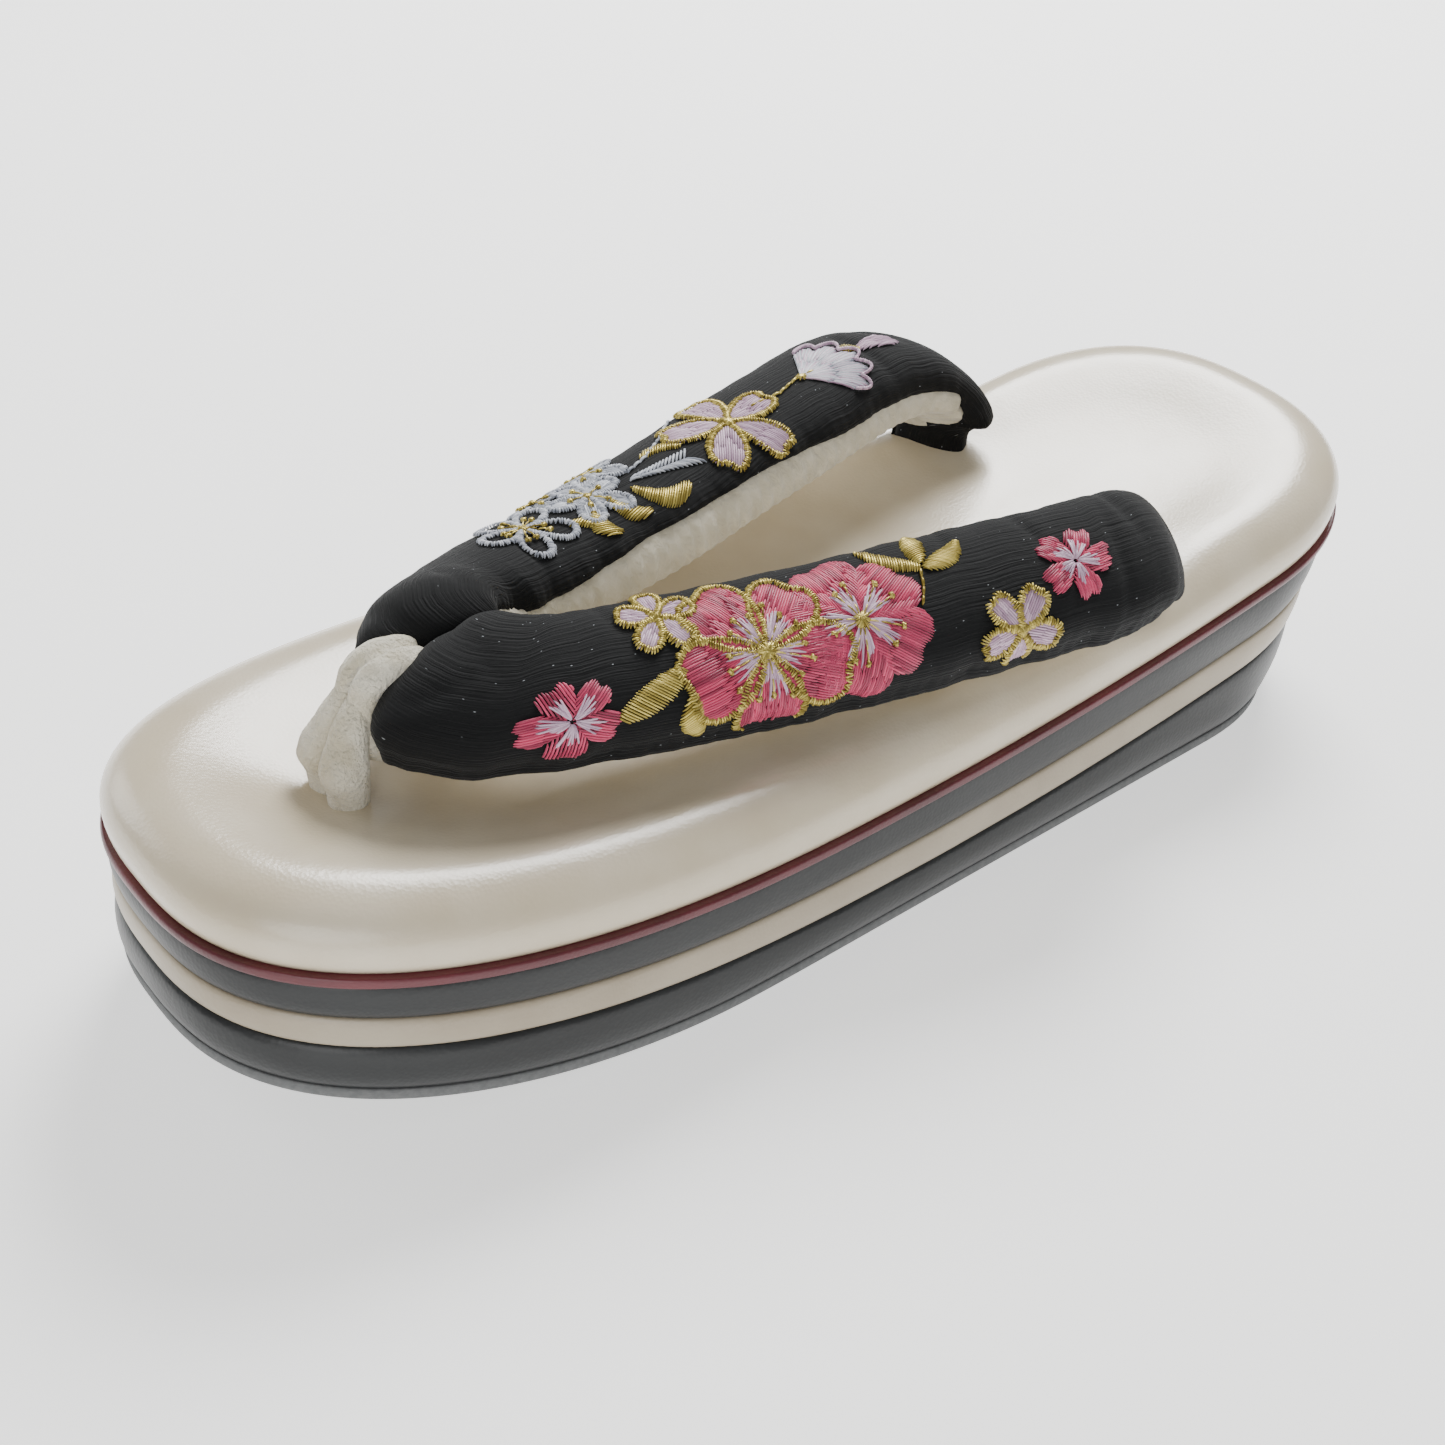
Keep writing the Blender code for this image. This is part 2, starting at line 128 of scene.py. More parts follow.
# Sole: four wrapped sheets and a rubber outsole
# The real sole is a stack of foam sheets, each wrapped in glossy leatherette and glued to the
# next, over a thin rubber outsole; every edge is pressed round, with a dark line between two.
LENGTH = 0.2400
BALL_WIDTH = 0.0876
BALL_PLACE = 0.0720
HEEL_WIDTH = 0.0748
TOE_CAP = 0.104
TOE_POWER = 2.67
HEEL_CAP = 0.037
HEEL_POWER = 2.5
LINE_TOE = 0.0343
LINE_WAIST = 0.0256
LINE_HEEL = 0.0392
TOE_SPRING = 0.0110
SPRING_START = 0.084
SPRING_POWER = 1.6
HEEL_RAKE = 0.0105
TOE_RAKE = -0.0012
WELT_THICK = 0.0018
UPPER_THICK = (0.0064, 0.0106)
MIDDLE_THICK = (0.0052, 0.0072)
OUTSOLE_THICK = 0.0020
OUTLINE_STEPS = 120
SIDE_ROWS = 15
# In metres, inset: how far a sheet's side lies in from the outline; bulge: how far the middle
# of its side swells out; lumps: how uneven its side is
SHEETS = (
    {"name": "outsole_sheet", "node": "outsole", "bottom": "ground", "top": "over_outsole",
     "slot": "outsole_rubber", "inset": 0.0006, "bulge": 0.0004, "lumps": 0.00002},
    {"name": "black_wedge", "node": "bottom_layer", "bottom": "over_outsole",
     "top": "under_middle", "slot": "black_leatherette", "inset": 0.0, "bulge": 0.0016,
     "lumps": 0.00016},
    {"name": "pale_layer", "node": "middle_layer", "bottom": "under_middle",
     "top": "under_upper", "slot": "pale_leatherette", "inset": 0.0002, "bulge": 0.0010,
     "lumps": 0.00010},
    {"name": "black_layer", "node": "upper_layer", "bottom": "under_upper",
     "top": "under_welt", "slot": "black_leatherette", "inset": 0.0001, "bulge": 0.0014,
     "lumps": 0.00014},
    {"name": "red_edge_sheet", "node": "red_welt", "bottom": "under_welt", "top": "line",
     "slot": "red_edge", "inset": -0.0006, "bulge": 0.0005, "lumps": 0.00005},
)
LUMP_SIZE = 0.011
LUMP_SQUASH = 2
BULGE_POWER = 0.8
# Patterns in millimetres. The leatherette's pebbles and the rubber's grit are drawn about
# twice as coarse as the real ones, so that they show; the clouds are a slow change of tone
CLOUDS = 18.18
BLACK_PEBBLES = 0.7143
PALE_PEBBLES = 0.6667
RED_PEBBLES = 0.5556
GRIT = 1.111


def between(first, last, share):
    """The value at a share of the way from the first to the last."""
    return first + (last - first) * share


def half_width(share):
    """Half the outline's width at a share of the length from toe to heel."""
    behind_ball = (share * LENGTH - BALL_PLACE) / (LENGTH - BALL_PLACE)
    body = between(BALL_WIDTH, HEEL_WIDTH, behind_ball) / 2
    from_toe = max(0.0, 1 - share * LENGTH / TOE_CAP)
    from_heel = max(0.0, 1 - (1 - share) * LENGTH / HEEL_CAP)
    toe = max(0.0, 1 - from_toe ** TOE_POWER) ** (1 / TOE_POWER)
    heel = max(0.0, 1 - from_heel ** HEEL_POWER) ** (1 / HEEL_POWER)
    return body * toe * heel


def line_height(share):
    """Height of the line under the foot bed: a soft curve through three heights."""
    toe = LINE_TOE * (1 - share) * (1 - 2 * share)
    waist = LINE_WAIST * 4 * share * (1 - share)
    heel = LINE_HEEL * share * (2 * share - 1)
    return toe + waist + heel


def sheet_level(name, share):
    """Height of one of the faces between the sheets at a share of the length."""
    line = line_height(share)
    under_welt = line - WELT_THICK
    under_upper = under_welt - between(*UPPER_THICK, share)
    reach = max(0.0, 1 - share * LENGTH / SPRING_START)
    ground = TOE_SPRING * reach ** SPRING_POWER
    return {
        "line": line,
        "under_welt": under_welt,
        "under_upper": under_upper,
        "under_middle": under_upper - between(*MIDDLE_THICK, share),
        "over_outsole": ground + OUTSOLE_THICK,
        "ground": ground,
    }[name]


def outline_ring(height_at, inset):
    """One closed ring of the outline, set in all round, with a height for each place."""
    shares = [(1 - math.cos(math.pi * i / OUTLINE_STEPS)) / 2 for i in range(OUTLINE_STEPS + 1)]
    ring = []
    for side, run in ((1, shares), (-1, shares[-2:0:-1])):
        for share in run:
            y = between(inset - LENGTH / 2, LENGTH / 2 - inset, share)
            place = y / LENGTH + 0.5
            height = height_at(place)
            drop = max(0.0, 1 - height / line_height(place))
            y += between(TOE_RAKE, -HEEL_RAKE, share) * drop
            width = half_width(share) * (1 - 2 * inset / BALL_WIDTH)
            ring.append((side * width, y, height))
    return ring


def skin(name, rings, surface, cap, cloth=None):
    """A closed smooth mesh over a row of closed rings of the same count.

    cap says how the first and last ring are closed: flat, or in strips across the sandal.
    cloth is a place on the fabric in metres for every point, kept for the material.
    """
    rings = np.asarray(rings, dtype=float)
    count, around = rings.shape[:2]
    corner = np.arange(count * around).reshape(count, around)
    after = np.roll(corner, -1, axis=1)
    faces = np.stack((corner[:-1], after[:-1], after[1:], corner[1:]), axis=-1)
    faces = faces.reshape(-1, 4).tolist()
    for ring in (corner[0].tolist(), corner[-1].tolist()):
        if cap == "flat":
            faces.append(ring)
            continue
        for i in range(around // 2):
            strip = [ring[i], ring[i + 1], ring[-i - 1], ring[-i % around]]
            faces.append(list(dict.fromkeys(strip)))
    data = bpy.data.meshes.new(name)
    data.from_pydata(rings.reshape(-1, 3).tolist(), [], faces)
    if cloth is not None:
        values = np.asarray(cloth, dtype=np.float32).reshape(-1)
        data.attributes.new("cloth", "FLOAT_VECTOR", "POINT").data.foreach_set("vector", values)
    mesh = bmesh.new()
    mesh.from_mesh(data)
    bmesh.ops.recalc_face_normals(mesh, faces=mesh.faces)
    mesh.to_mesh(data)
    mesh.free()
    data.shade_smooth()
    data.materials.append(surface)
    return show(name, data)


def add_node(made, kind, values=None, links=None, **settings):
    """Add a node to a material or node group, with its settings, values and links."""
    tree = getattr(made, "node_tree", made)
    new = tree.nodes.new(kind)
    for setting, value in settings.items():
        setattr(new, setting, value)
    for socket, value in (values or {}).items():
        new.inputs[socket].default_value = value
    for socket, source in (links or {}).items():
        tree.links.new(source, new.inputs[socket])
    return new


def bump_chain(made, layers):
    """Bump nodes one after another, each with a height output, a strength and a depth."""
    shader = made.node_tree.nodes["Principled BSDF"]
    normal = None
    for height, strength, depth in layers:
        links = {"Height": height}
        if normal:
            links["Normal"] = normal
        bump = add_node(made, "ShaderNodeBump", {"Strength": strength, "Distance": depth}, links)
        normal = bump.outputs["Normal"]
    made.node_tree.links.new(normal, shader.inputs["Normal"])


def tint(made, factor, first, last, low=0.0, high=1.0):
    """Run the base colour from the first to the last colour as a factor goes low to high."""
    ramp = add_node(made, "ShaderNodeValToRGB", links={"Fac": factor})
    ramp.color_ramp.elements[0].position = low
    ramp.color_ramp.elements[0].color = linear(first)
    ramp.color_ramp.elements[1].position = high
    ramp.color_ramp.elements[1].color = linear(last)
    shader = made.node_tree.nodes["Principled BSDF"]
    made.node_tree.links.new(ramp.outputs["Color"], shader.inputs["Base Color"])


def per_metre(size):
    """How often a pattern of a size in millimetres comes in a metre, as its node's scale."""
    return 1000 / size


def leatherette(name, dark, light, roughness, coat, pebble):
    """Polyurethane-coated cloth: a fine pebble grain under a thin gloss, with faint clouds."""
    made = new_material(name, Roughness=roughness, Coat_Weight=coat, Coat_Roughness=0.22)
    place = add_node(made, "ShaderNodeTexCoord").outputs["Object"]
    pebbles = add_node(made, "ShaderNodeTexVoronoi", {"Scale": per_metre(pebble)},
                       {"Vector": place})
    clouds = add_node(made, "ShaderNodeTexNoise", {"Scale": per_metre(CLOUDS), "Detail": 4.0},
                      {"Vector": place})
    tint(made, clouds.outputs["Fac"], dark, light, 0.35, 0.65)
    bump_chain(made, ((clouds.outputs["Fac"], 0.5, 0.0004),
                      (pebbles.outputs["Distance"], 0.35, 0.0001)))
    return made


def rubber(name):
    """Moulded rubber sheet: matt grey with a gritty grain."""
    made = new_material(name, Roughness=0.8)
    place = add_node(made, "ShaderNodeTexCoord").outputs["Object"]
    grit = add_node(made, "ShaderNodeTexNoise", {"Scale": per_metre(GRIT), "Detail": 5.0},
                    {"Vector": place})
    tint(made, grit.outputs["Fac"], "#5F6161", "#6F7070", 0.3, 0.7)
    bump_chain(made, ((grit.outputs["Fac"], 0.6, 0.0002),))
    return made


sheet_surfaces = {
    "outsole_rubber": rubber("outsole_rubber"),
    "black_leatherette": leatherette(
        "black_leatherette", "#0C0E0F", "#141718", 0.42, 0.10, BLACK_PEBBLES),
    "pale_leatherette": leatherette(
        "pale_leatherette", "#A0937D", "#ACA08B", 0.40, 0.18, PALE_PEBBLES),
    "red_edge": leatherette(
        "red_leatherette", "#4C141C", "#631D27", 0.40, 0.15, RED_PEBBLES),
}
for row in SHEETS:
    rings = []
    for i in range(SIDE_ROWS):
        angle = math.pi * i / (SIDE_ROWS - 1)
        up = (1 - math.cos(angle)) / 2
        bulge = row["bulge"] * math.sin(angle) ** BULGE_POWER if 0 < i < SIDE_ROWS - 1 else 0.0

        def height_at(share, row=row, up=up):
            low = sheet_level(row["bottom"], share)
            return between(low, sheet_level(row["top"], share), up)
        ring = outline_ring(height_at, row["inset"] + row["bulge"] - bulge)
        for j, (x, y, z) in enumerate(ring):
            lump = noise.noise(Vector((x, y, z * LUMP_SQUASH)) / LUMP_SIZE) * row["lumps"]
            away = Vector((x, y, 0)).normalized() * lump * math.sin(angle)
            ring[j] = (x + away.x, y + away.y, z)
        rings.append(ring)
    piece = skin(row["name"], rings, sheet_surfaces[row["slot"]], "across")
    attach(piece, "root")
    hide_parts(row["node"])


# Foot bed
# The real foot bed is a soft foam pad in pearl leatherette, turned down and glued under its
# edge. It is pressed in where the toe loop and the two strap ends go through it.
PAD_HEIGHT = 0.0114
PAD_DISH = 0.0030
PAD_STEPS = 5
# The pad's side from its edge to its middle, as shares: how high, how deep in the dish, and
# how far in from the outline to the middle line
PAD_SIDE = (
    (0.00, 0.0, 0.020),
    (0.14, 0.0, 0.004),
    (0.40, 0.0, 0.000),
    (0.64, 0.0, 0.024),
    (0.83, 0.0, 0.072),
    (0.95, 0.0, 0.140),
    (1.00, 0.0, 0.225),
    (1.00, 0.2, 0.340),
    (1.00, 0.7, 0.540),
    (1.00, 1.0, 0.760),
    (1.00, 1.0, 0.980),
)
# Where the foot bed is pressed in: at the toe loop and at both ends of the strap
LOOP_PLACE = -0.0868
NECK_SIDE = 0.02937
NECK_PLACES = {1: 0.0549, -1: 0.0593}
DIMPLES = (
    {"x": 0.0, "y": LOOP_PLACE, "depth": 0.0022, "reach": 0.0095},
    {"x": NECK_SIDE, "y": NECK_PLACES[1], "depth": 0.0020, "reach": 0.0120},
    {"x": -NECK_SIDE, "y": NECK_PLACES[-1], "depth": 0.0020, "reach": 0.0120},
)
PEARL_PEBBLES = 0.625


def smooth_rows(rows, steps):
    """Rows of numbers with a smooth run of rows put in between each two."""
    values = np.array(rows, dtype=float)
    ends = np.vstack((2 * values[0] - values[1], values, 2 * values[-1] - values[-2]))
    made = []
    for i in range(len(values) - 1):
        a, b, c, d = ends[i:i + 4]
        for k in range(steps):
            t = k / steps
            made.append(0.5 * (2 * b + (c - a) * t + (2 * a - 5 * b + 4 * c - d) * t ** 2
                               + (3 * b - a - 3 * c + d) * t ** 3))
    return np.array([*made, values[-1]])


pearl = leatherette("pearl_leatherette", "#CCBEA3", "#D6CAB2", 0.27, 0.55, PEARL_PEBBLES)
rings = []
for up, dish, inset in smooth_rows(PAD_SIDE, PAD_STEPS):
    def height_at(share, rise=PAD_HEIGHT * up - PAD_DISH * dish):
        return line_height(share) + rise
    ring = outline_ring(height_at, inset * BALL_WIDTH / 2)
    for j, (x, y, z) in enumerate(ring):
        for dimple in DIMPLES:
            far = math.hypot(x - dimple["x"], y - dimple["y"]) / dimple["reach"]
            z -= dimple["depth"] * math.exp(-far ** 2) * up
        ring[j] = (x, y, z)
    rings.append(ring)
pad = skin("foot_bed", rings, pearl, "across")
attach(pad, "root")
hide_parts("top_pad")


# Strap cover
# The real strap is a padded tube in the shape of a V. Its face is black crepe with a crinkled
# grain, turned in under the outer edge and sewn to the flannel along the inner one, and it
# puckers a little along both.
STRAP_WIDTH = 0.0278
STRAP_RISE = 0.0124
STRAP_SPREAD = 0.0330
STRAP_LEAN = 7.5
STRAP_DROP = 0.0020
STRAP_LIFT = 0.0020
STRAP_SKEW = 0.0022
COVER_CROWN = 0.0100
COVER_WALL = 0.0013
COVER_SWELL = 0.07
LINING_BELLY = 0.0054
NECK = {"width": 0.0160, "crown": 0.0045, "belly": 0.0036}
NECK_SINKS = (-0.0009, 0.0070)
# The sections' columns are along: a share of LENGTH behind the middle; spread, rise, width and
# crown: shares of the sizes above; fan: degrees that the width turns to the toe; tilt: degrees
# that the outer edge hangs; lean: share of STRAP_LEAN that the left half hangs steeper and the
# right half flatter, and of STRAP_DROP that the left half hangs lower; lift: share of
# STRAP_LIFT for the right half
STRAP_SECTIONS = (
    (-0.2835, 0.000, 1.00, 0.90, 0.40, 90, 12, 0.0,  0.0),
    (-0.2865, 0.082, 1.01, 0.93, 0.46, 82, 13, 0.0,  0.0),
    (-0.2960, 0.148, 1.03, 1.12, 0.76, 77, 15, 0.1,  0.0),
    (-0.2905, 0.224, 1.03, 1.13, 0.90, 70, 17, 0.2,  0.0),
    (-0.2740, 0.300, 1.02, 1.05, 0.95, 59, 18, 0.3, -0.2),
    (-0.2480, 0.361, 1.01, 0.94, 0.98, 43, 18, 0.4, -0.5),
    (-0.2165, 0.415, 1.01, 0.89, 1.00, 27, 17, 0.6, -0.7),
    (-0.1690, 0.485, 1.01, 0.90, 1.00, 16, 15, 0.8, -0.7),
    (-0.0830, 0.605, 1.00, 0.92, 1.00, 15, 13, 1.0, -0.2),
    ( 0.0080, 0.755, 1.00, 0.94, 1.00, 14, 12, 1.0,  0.5),
    ( 0.1000, 0.898, 0.98, 0.94, 1.00, 14, 11, 1.1,  1.0),
    ( 0.1600, 0.985, 0.93, 0.94, 0.98, 15, 11, 1.2,  1.2),
    ( 0.1980, 0.998, 0.80, 0.95, 0.92, 19, 11, 1.0,  1.0),
    ( 0.2220, 0.970, 0.58, 0.96, 0.76, 23, 10, 0.6,  0.6),
    ( 0.2340, 0.940, 0.40, 0.96, 0.60, 26,  7, 0.2,  0.2),
    ( 0.2380, 0.925, 0.25, 0.94, 0.48, 27,  2, 0.0,  0.0),
)
NECK_FAN = 27.0
ROW_STEPS = 24
STATION_STEP = 0.0007
COVER_STEPS = 30
ARCH_POWER = 0.8
BELLY_POWER = 0.5
# How far round the arch, in degrees, the inner seam lies above the inner edge, at a distance
# in metres along each half from the toe; below 0 the crepe turns in under the edge
SEAM_RISE = {
    1: ((0.0, 0), (0.040, 4), (0.080, 10), (0.115, 6), (0.132, -30), (0.148, -148)),
    -1: ((0.0, 0), (0.022, 2), (0.055, 28), (0.085, 24), (0.105, 12), (0.125, 8),
         (0.136, 4), (0.143, -50), (0.149, -148)),
}
# How much of the outer edge is folded away at the two noses, at a distance from the toe
NOSE_TRIM = {
    1: ((0.0, 0.0020), (0.003, 0.0), (0.0075, 0.0020), (0.011, 0.0016), (0.016, 0.0)),
    -1: ((0.0, 0.0020), (0.004, 0.0060), (0.008, 0.0085), (0.014, 0.0070), (0.024, 0.0020),
         (0.032, 0.0)),
}
# Share of the stuffing under the strap, at a distance in metres from the toe
BELLY_SHARES = ((0.0, 1.0), (0.100, 1.0), (0.120, 0.9), (0.135, 0.8), (0.170, 0.8))
# How far the crepe turns in under the outer edge, in degrees round the section
OUTER_HEM = 26
HEM_STEPS = 5
WALL_STEPS = 13
# Puckers at the stitches, and longer waves of the slack edges
PUCKER_STEP = 0.0026
PUCKER_DEPTH = 0.00022
PUCKER_REACH = 0.0022
WAVE_STEP = 0.0055
WAVE_DEPTH = 0.0010
WAVE_REACH = 0.0045
WAVE_SEEDS = (7.3, 3.1)
# The main creases: side, metres from the toe, metres from the middle of the face towards the
# outer edge, degrees from the strap's length, half length and depth
CREASES = (
    ( 1, 0.0060, -0.0050,  62, 0.0070, 0.0007),
    ( 1, 0.0105, -0.0020,  48, 0.0060, 0.0005),
    ( 1, 0.0085,  0.0070, 118, 0.0060, 0.0005),
    ( 1, 0.0310, -0.0080,  70, 0.0040, 0.0004),
    ( 1, 0.0930, -0.0090, 100, 0.0045, 0.0005),
    ( 1, 0.1080, -0.0060,  80, 0.0060, 0.0005),
    ( 1, 0.1210,  0.0040,  96, 0.0080, 0.0006),
    ( 1, 0.1255, -0.0050,  84, 0.0070, 0.0007),
    (-1, 0.0065,  0.0040,  60, 0.0070, 0.0006),
    (-1, 0.0120, -0.0040,  45, 0.0060, 0.0005),
    (-1, 0.0330, -0.0080,  75, 0.0040, 0.0004),
    (-1, 0.1220, -0.0040,  84, 0.0080, 0.0007),
    (-1, 0.1290,  0.0050,  98, 0.0080, 0.0007),
)
CREASE_HALF = 0.0011
# Patterns in millimetres, along and across the strap; the ribs and the specks of painted glint
# are drawn a little coarser than the real ones, so that they show
RIBS = (16.67, 0.4348)
GLINT_SPECKS = (2.632, 1.2195)
CRINKLES = 1.538


def pad_height(y):
    """Height of the foot bed's top at a place along the sandal, without its dish."""
    return line_height(min(1.0, max(0.0, y / LENGTH + 0.5))) + PAD_HEIGHT


def strap_rows(side):
    """A half's sections from the toe to its sunk end: place, fan, tilt, width, crown, belly."""
    rows = []
    for along, spread, rise, width, crown, fan, tilt, lean, lift in STRAP_SECTIONS:
        back = max(0.0, along) / STRAP_SECTIONS[-1][0]
        y = along * LENGTH - side * STRAP_SKEW * back
        shift = -lean * STRAP_DROP if side > 0 else lift * STRAP_LIFT
        rows.append((
            spread * STRAP_SPREAD, y, pad_height(y) + rise * STRAP_RISE + shift,
            fan, tilt + side * lean * STRAP_LEAN,
            width * STRAP_WIDTH, crown * COVER_CROWN, LINING_BELLY,
        ))
    for sink in NECK_SINKS:
        rows.append((NECK_SIDE, y, pad_height(y) - sink, NECK_FAN, 0.0, *NECK.values()))
    return rows


def walked(points):
    """How far each point of a row lies from the first one, along the row."""
    steps = np.linalg.norm(np.diff(np.asarray(points), axis=0), axis=1)
    return np.concatenate(((0.0,), np.cumsum(steps)))


def strap_stations(side):
    """Evenly spaced sections with their centre, directions and sizes; side 1 is the left."""
    table = smooth_rows(strap_rows(side), ROW_STEPS)
    gone = walked(table[:, :3])
    stops = np.linspace(0, gone[-1], int(gone[-1] / STATION_STEP) + 1)
    table = np.array([np.interp(stops, gone, column) for column in table.T]).T
    ways = np.gradient(table[:, :3], axis=0)
    ways[0] = (1, 0, 0)
    stations = []
    for gone_by, row, way in zip(stops, table, ways):
        *middle, fan, tilt, width, crown, belly = row
        fan = math.radians(fan)
        tilt = math.radians(tilt)
        across = Vector((math.cos(fan) * math.cos(tilt), -math.sin(fan) * math.cos(tilt),
                         -math.sin(tilt)))
        along = Vector(way)
        along = (along - across * along.dot(across)).normalized()
        mirror = Vector((side, 1, 1))
        rise = np.interp(gone_by, *zip(*SEAM_RISE[side]))
        share = np.interp(gone_by, *zip(*BELLY_SHARES))
        trim = np.interp(gone_by, *zip(*NOSE_TRIM[side]))
        stations.append({
            "side": side, "gone": gone_by, "seam": math.pi - math.radians(rise),
            "centre": (Vector(middle) - across * trim / 2) * mirror,
            "across": across * mirror, "outward": across.cross(along) * mirror,
            "width": width - trim, "crown": crown, "belly": belly * share,
        })
    return stations


def around(station, inset, angles):
    """Points round a padded section, at angles from its outer edge over the top."""
    points = []
    for angle in angles:
        lift = abs(math.sin(angle))
        reach = (station["width"] / 2 - inset) * math.cos(angle) * (1 + COVER_SWELL * lift)
        if math.sin(angle) >= 0:
            rise = (station["crown"] - inset) * lift ** ARCH_POWER
        else:
            rise = -(station["belly"] - inset) * lift ** BELLY_POWER
        points.append(station["centre"] + station["across"] * reach
                      + station["outward"] * rise)
    return points


def drawn_in(station, spot, edge, edge_far):
    """How far the crepe is drawn in at a spot: by stitches, by its slack edge and by creases."""
    gone_by = station["gone"]
    ripple = 0.5 + 0.5 * math.cos(2 * math.pi * gone_by / PUCKER_STEP)
    wave = 0.5 + noise.noise(Vector((gone_by / WAVE_STEP, WAVE_SEEDS[0] * edge,
                                     WAVE_SEEDS[1] * station["side"])))
    sink = (PUCKER_DEPTH * ripple * math.exp(-edge_far / PUCKER_REACH)
            + WAVE_DEPTH * wave * math.exp(-edge_far / WAVE_REACH))
    for side, place, across, degrees, length, depth in CREASES:
        if side == station["side"]:
            turn = math.radians(degrees)
            u = gone_by - place
            v = spot - across
            along = (u * math.cos(turn) + v * math.sin(turn)) / length
            off = (v * math.cos(turn) - u * math.sin(turn)) / CREASE_HALF
            sink += depth * math.exp(-along ** 2 - off ** 2)
    return sink


def cover_points(station):
    """The outer face of the cover at one section, from its outer hem to its inner seam."""
    hem = np.linspace(-math.radians(OUTER_HEM), 0, HEM_STEPS, endpoint=False)
    face = np.linspace(0, station["seam"], COVER_STEPS + 1)
    points = around(station, 0.0, np.concatenate((hem, face)))
    spots = walked(points)
    middle = (spots[HEM_STEPS] + spots[-1]) / 2
    drawn = []
    for point, spot in zip(points, spots):
        edge = 0 if spot < middle else 1
        edge_far = min(abs(spot - spots[HEM_STEPS]), spots[-1] - spot)
        sink = drawn_in(station, middle - spot, edge, edge_far)
        drawn.append(point - (point - station["centre"]).normalized() * sink)
    return drawn


def cloth_places(station, shown, hidden):
    """Places on the cloth, along and across it, for the shown and hidden points of a ring."""
    along = station["side"] * station["gone"]
    across = walked(shown)
    return [(along, spot, 0.0) for spot in (*across, *[across[-1]] * len(hidden))]


def crepe(name):
    """Silk crepe: matt black with fine crinkled ribs, and rare bright specks of painted glint."""
    made = new_material(name, Roughness=0.85, Sheen_Weight=0.06, Sheen_Roughness=0.4,
                        Specular_IOR_Level=0.25)
    cloth = add_node(made, "ShaderNodeAttribute", attribute_name="cloth").outputs["Vector"]
    stretched = add_node(made, "ShaderNodeMapping",
                         {"Scale": (per_metre(RIBS[0]), per_metre(RIBS[1]), 1.0)},
                         {"Vector": cloth}).outputs["Vector"]
    ribs = add_node(made, "ShaderNodeTexNoise", {"Scale": 1.0, "Detail": 3.0, "Distortion": 0.3},
                    {"Vector": stretched})
    crinkle = add_node(made, "ShaderNodeTexNoise", {"Scale": per_metre(CRINKLES), "Detail": 4.0},
                       {"Vector": cloth})
    rows = add_node(made, "ShaderNodeMapping",
                    {"Scale": (per_metre(GLINT_SPECKS[0]), per_metre(GLINT_SPECKS[1]), 1.0)},
                    {"Vector": cloth}).outputs["Vector"]
    painted_glints = add_node(made, "ShaderNodeTexVoronoi", {"Scale": 1.0}, {"Vector": rows})
    # The pale grey specks laid into the black base colour are painted glints of light
    tint(made, painted_glints.outputs["Distance"], "#A6ABAF", "#0E0F10", 0.035, 0.070)
    bump_chain(made, ((ribs.outputs["Fac"], 1.0, 0.0004),
                      (crinkle.outputs["Fac"], 0.5, 0.0002)))
    return made


stations = {side: strap_stations(side) for side in (1, -1)}
whole_strap = stations[-1][:0:-1] + stations[1]
rings = []
cloth = []
for station in whole_strap:
    outer = cover_points(station)
    inner = around(station, COVER_WALL,
                   np.linspace(station["seam"], -math.radians(OUTER_HEM), WALL_STEPS))
    rings.append(outer + inner)
    cloth.append(cloth_places(station, outer, inner))
cover = skin("crepe_cover", rings, crepe("black_crepe"), "flat", cloth)
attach(cover, "root")
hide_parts("strap_cover")


# Strap lining
# The real lining is off-white brushed flannel with a soft stuffing inside, and it shows as a
# pale band under the crepe along the inner edges of the V.
LINING_GAP = 0.0003
LINING_STEPS = 22
FACE_STEPS = 8
OVER_STEPS = 7
# How far round the section, in radians, the flannel goes on under the crepe, and how deep it
# lies at the seam; then how far it is drawn in where the crepe turns in under an edge, and how
# far round the crepe has turned once that is so
SEAM_UNDER = 0.12
SEAM_INSET = 0.0015
HEM_TUCK = 0.0022
HEM_GROWS = 0.15
RIB_STEP = 0.0030
RIB_DEPTH = 0.00012
# The nap's hairs and its tufts, in millimetres, drawn coarse enough to show
NAP = 1.111
TUFTS = 3.846


def flannel(name):
    """Brushed cotton flannel: a fuzzy nap over a faint rib, so it has no gloss at all."""
    made = new_material(name, Roughness=0.95, Sheen_Weight=0.6, Sheen_Roughness=0.5)
    cloth = add_node(made, "ShaderNodeAttribute", attribute_name="cloth").outputs["Vector"]
    nap = add_node(made, "ShaderNodeTexNoise", {"Scale": per_metre(NAP), "Detail": 6.0},
                   {"Vector": cloth})
    tufts = add_node(made, "ShaderNodeTexNoise", {"Scale": per_metre(TUFTS), "Detail": 3.0},
                     {"Vector": cloth})
    tint(made, tufts.outputs["Fac"], "#C8C0A9", "#E1DAC6", 0.3, 0.7)
    bump_chain(made, ((tufts.outputs["Fac"], 0.9, 0.0008), (nap.outputs["Fac"], 1.0, 0.0004)))
    return made


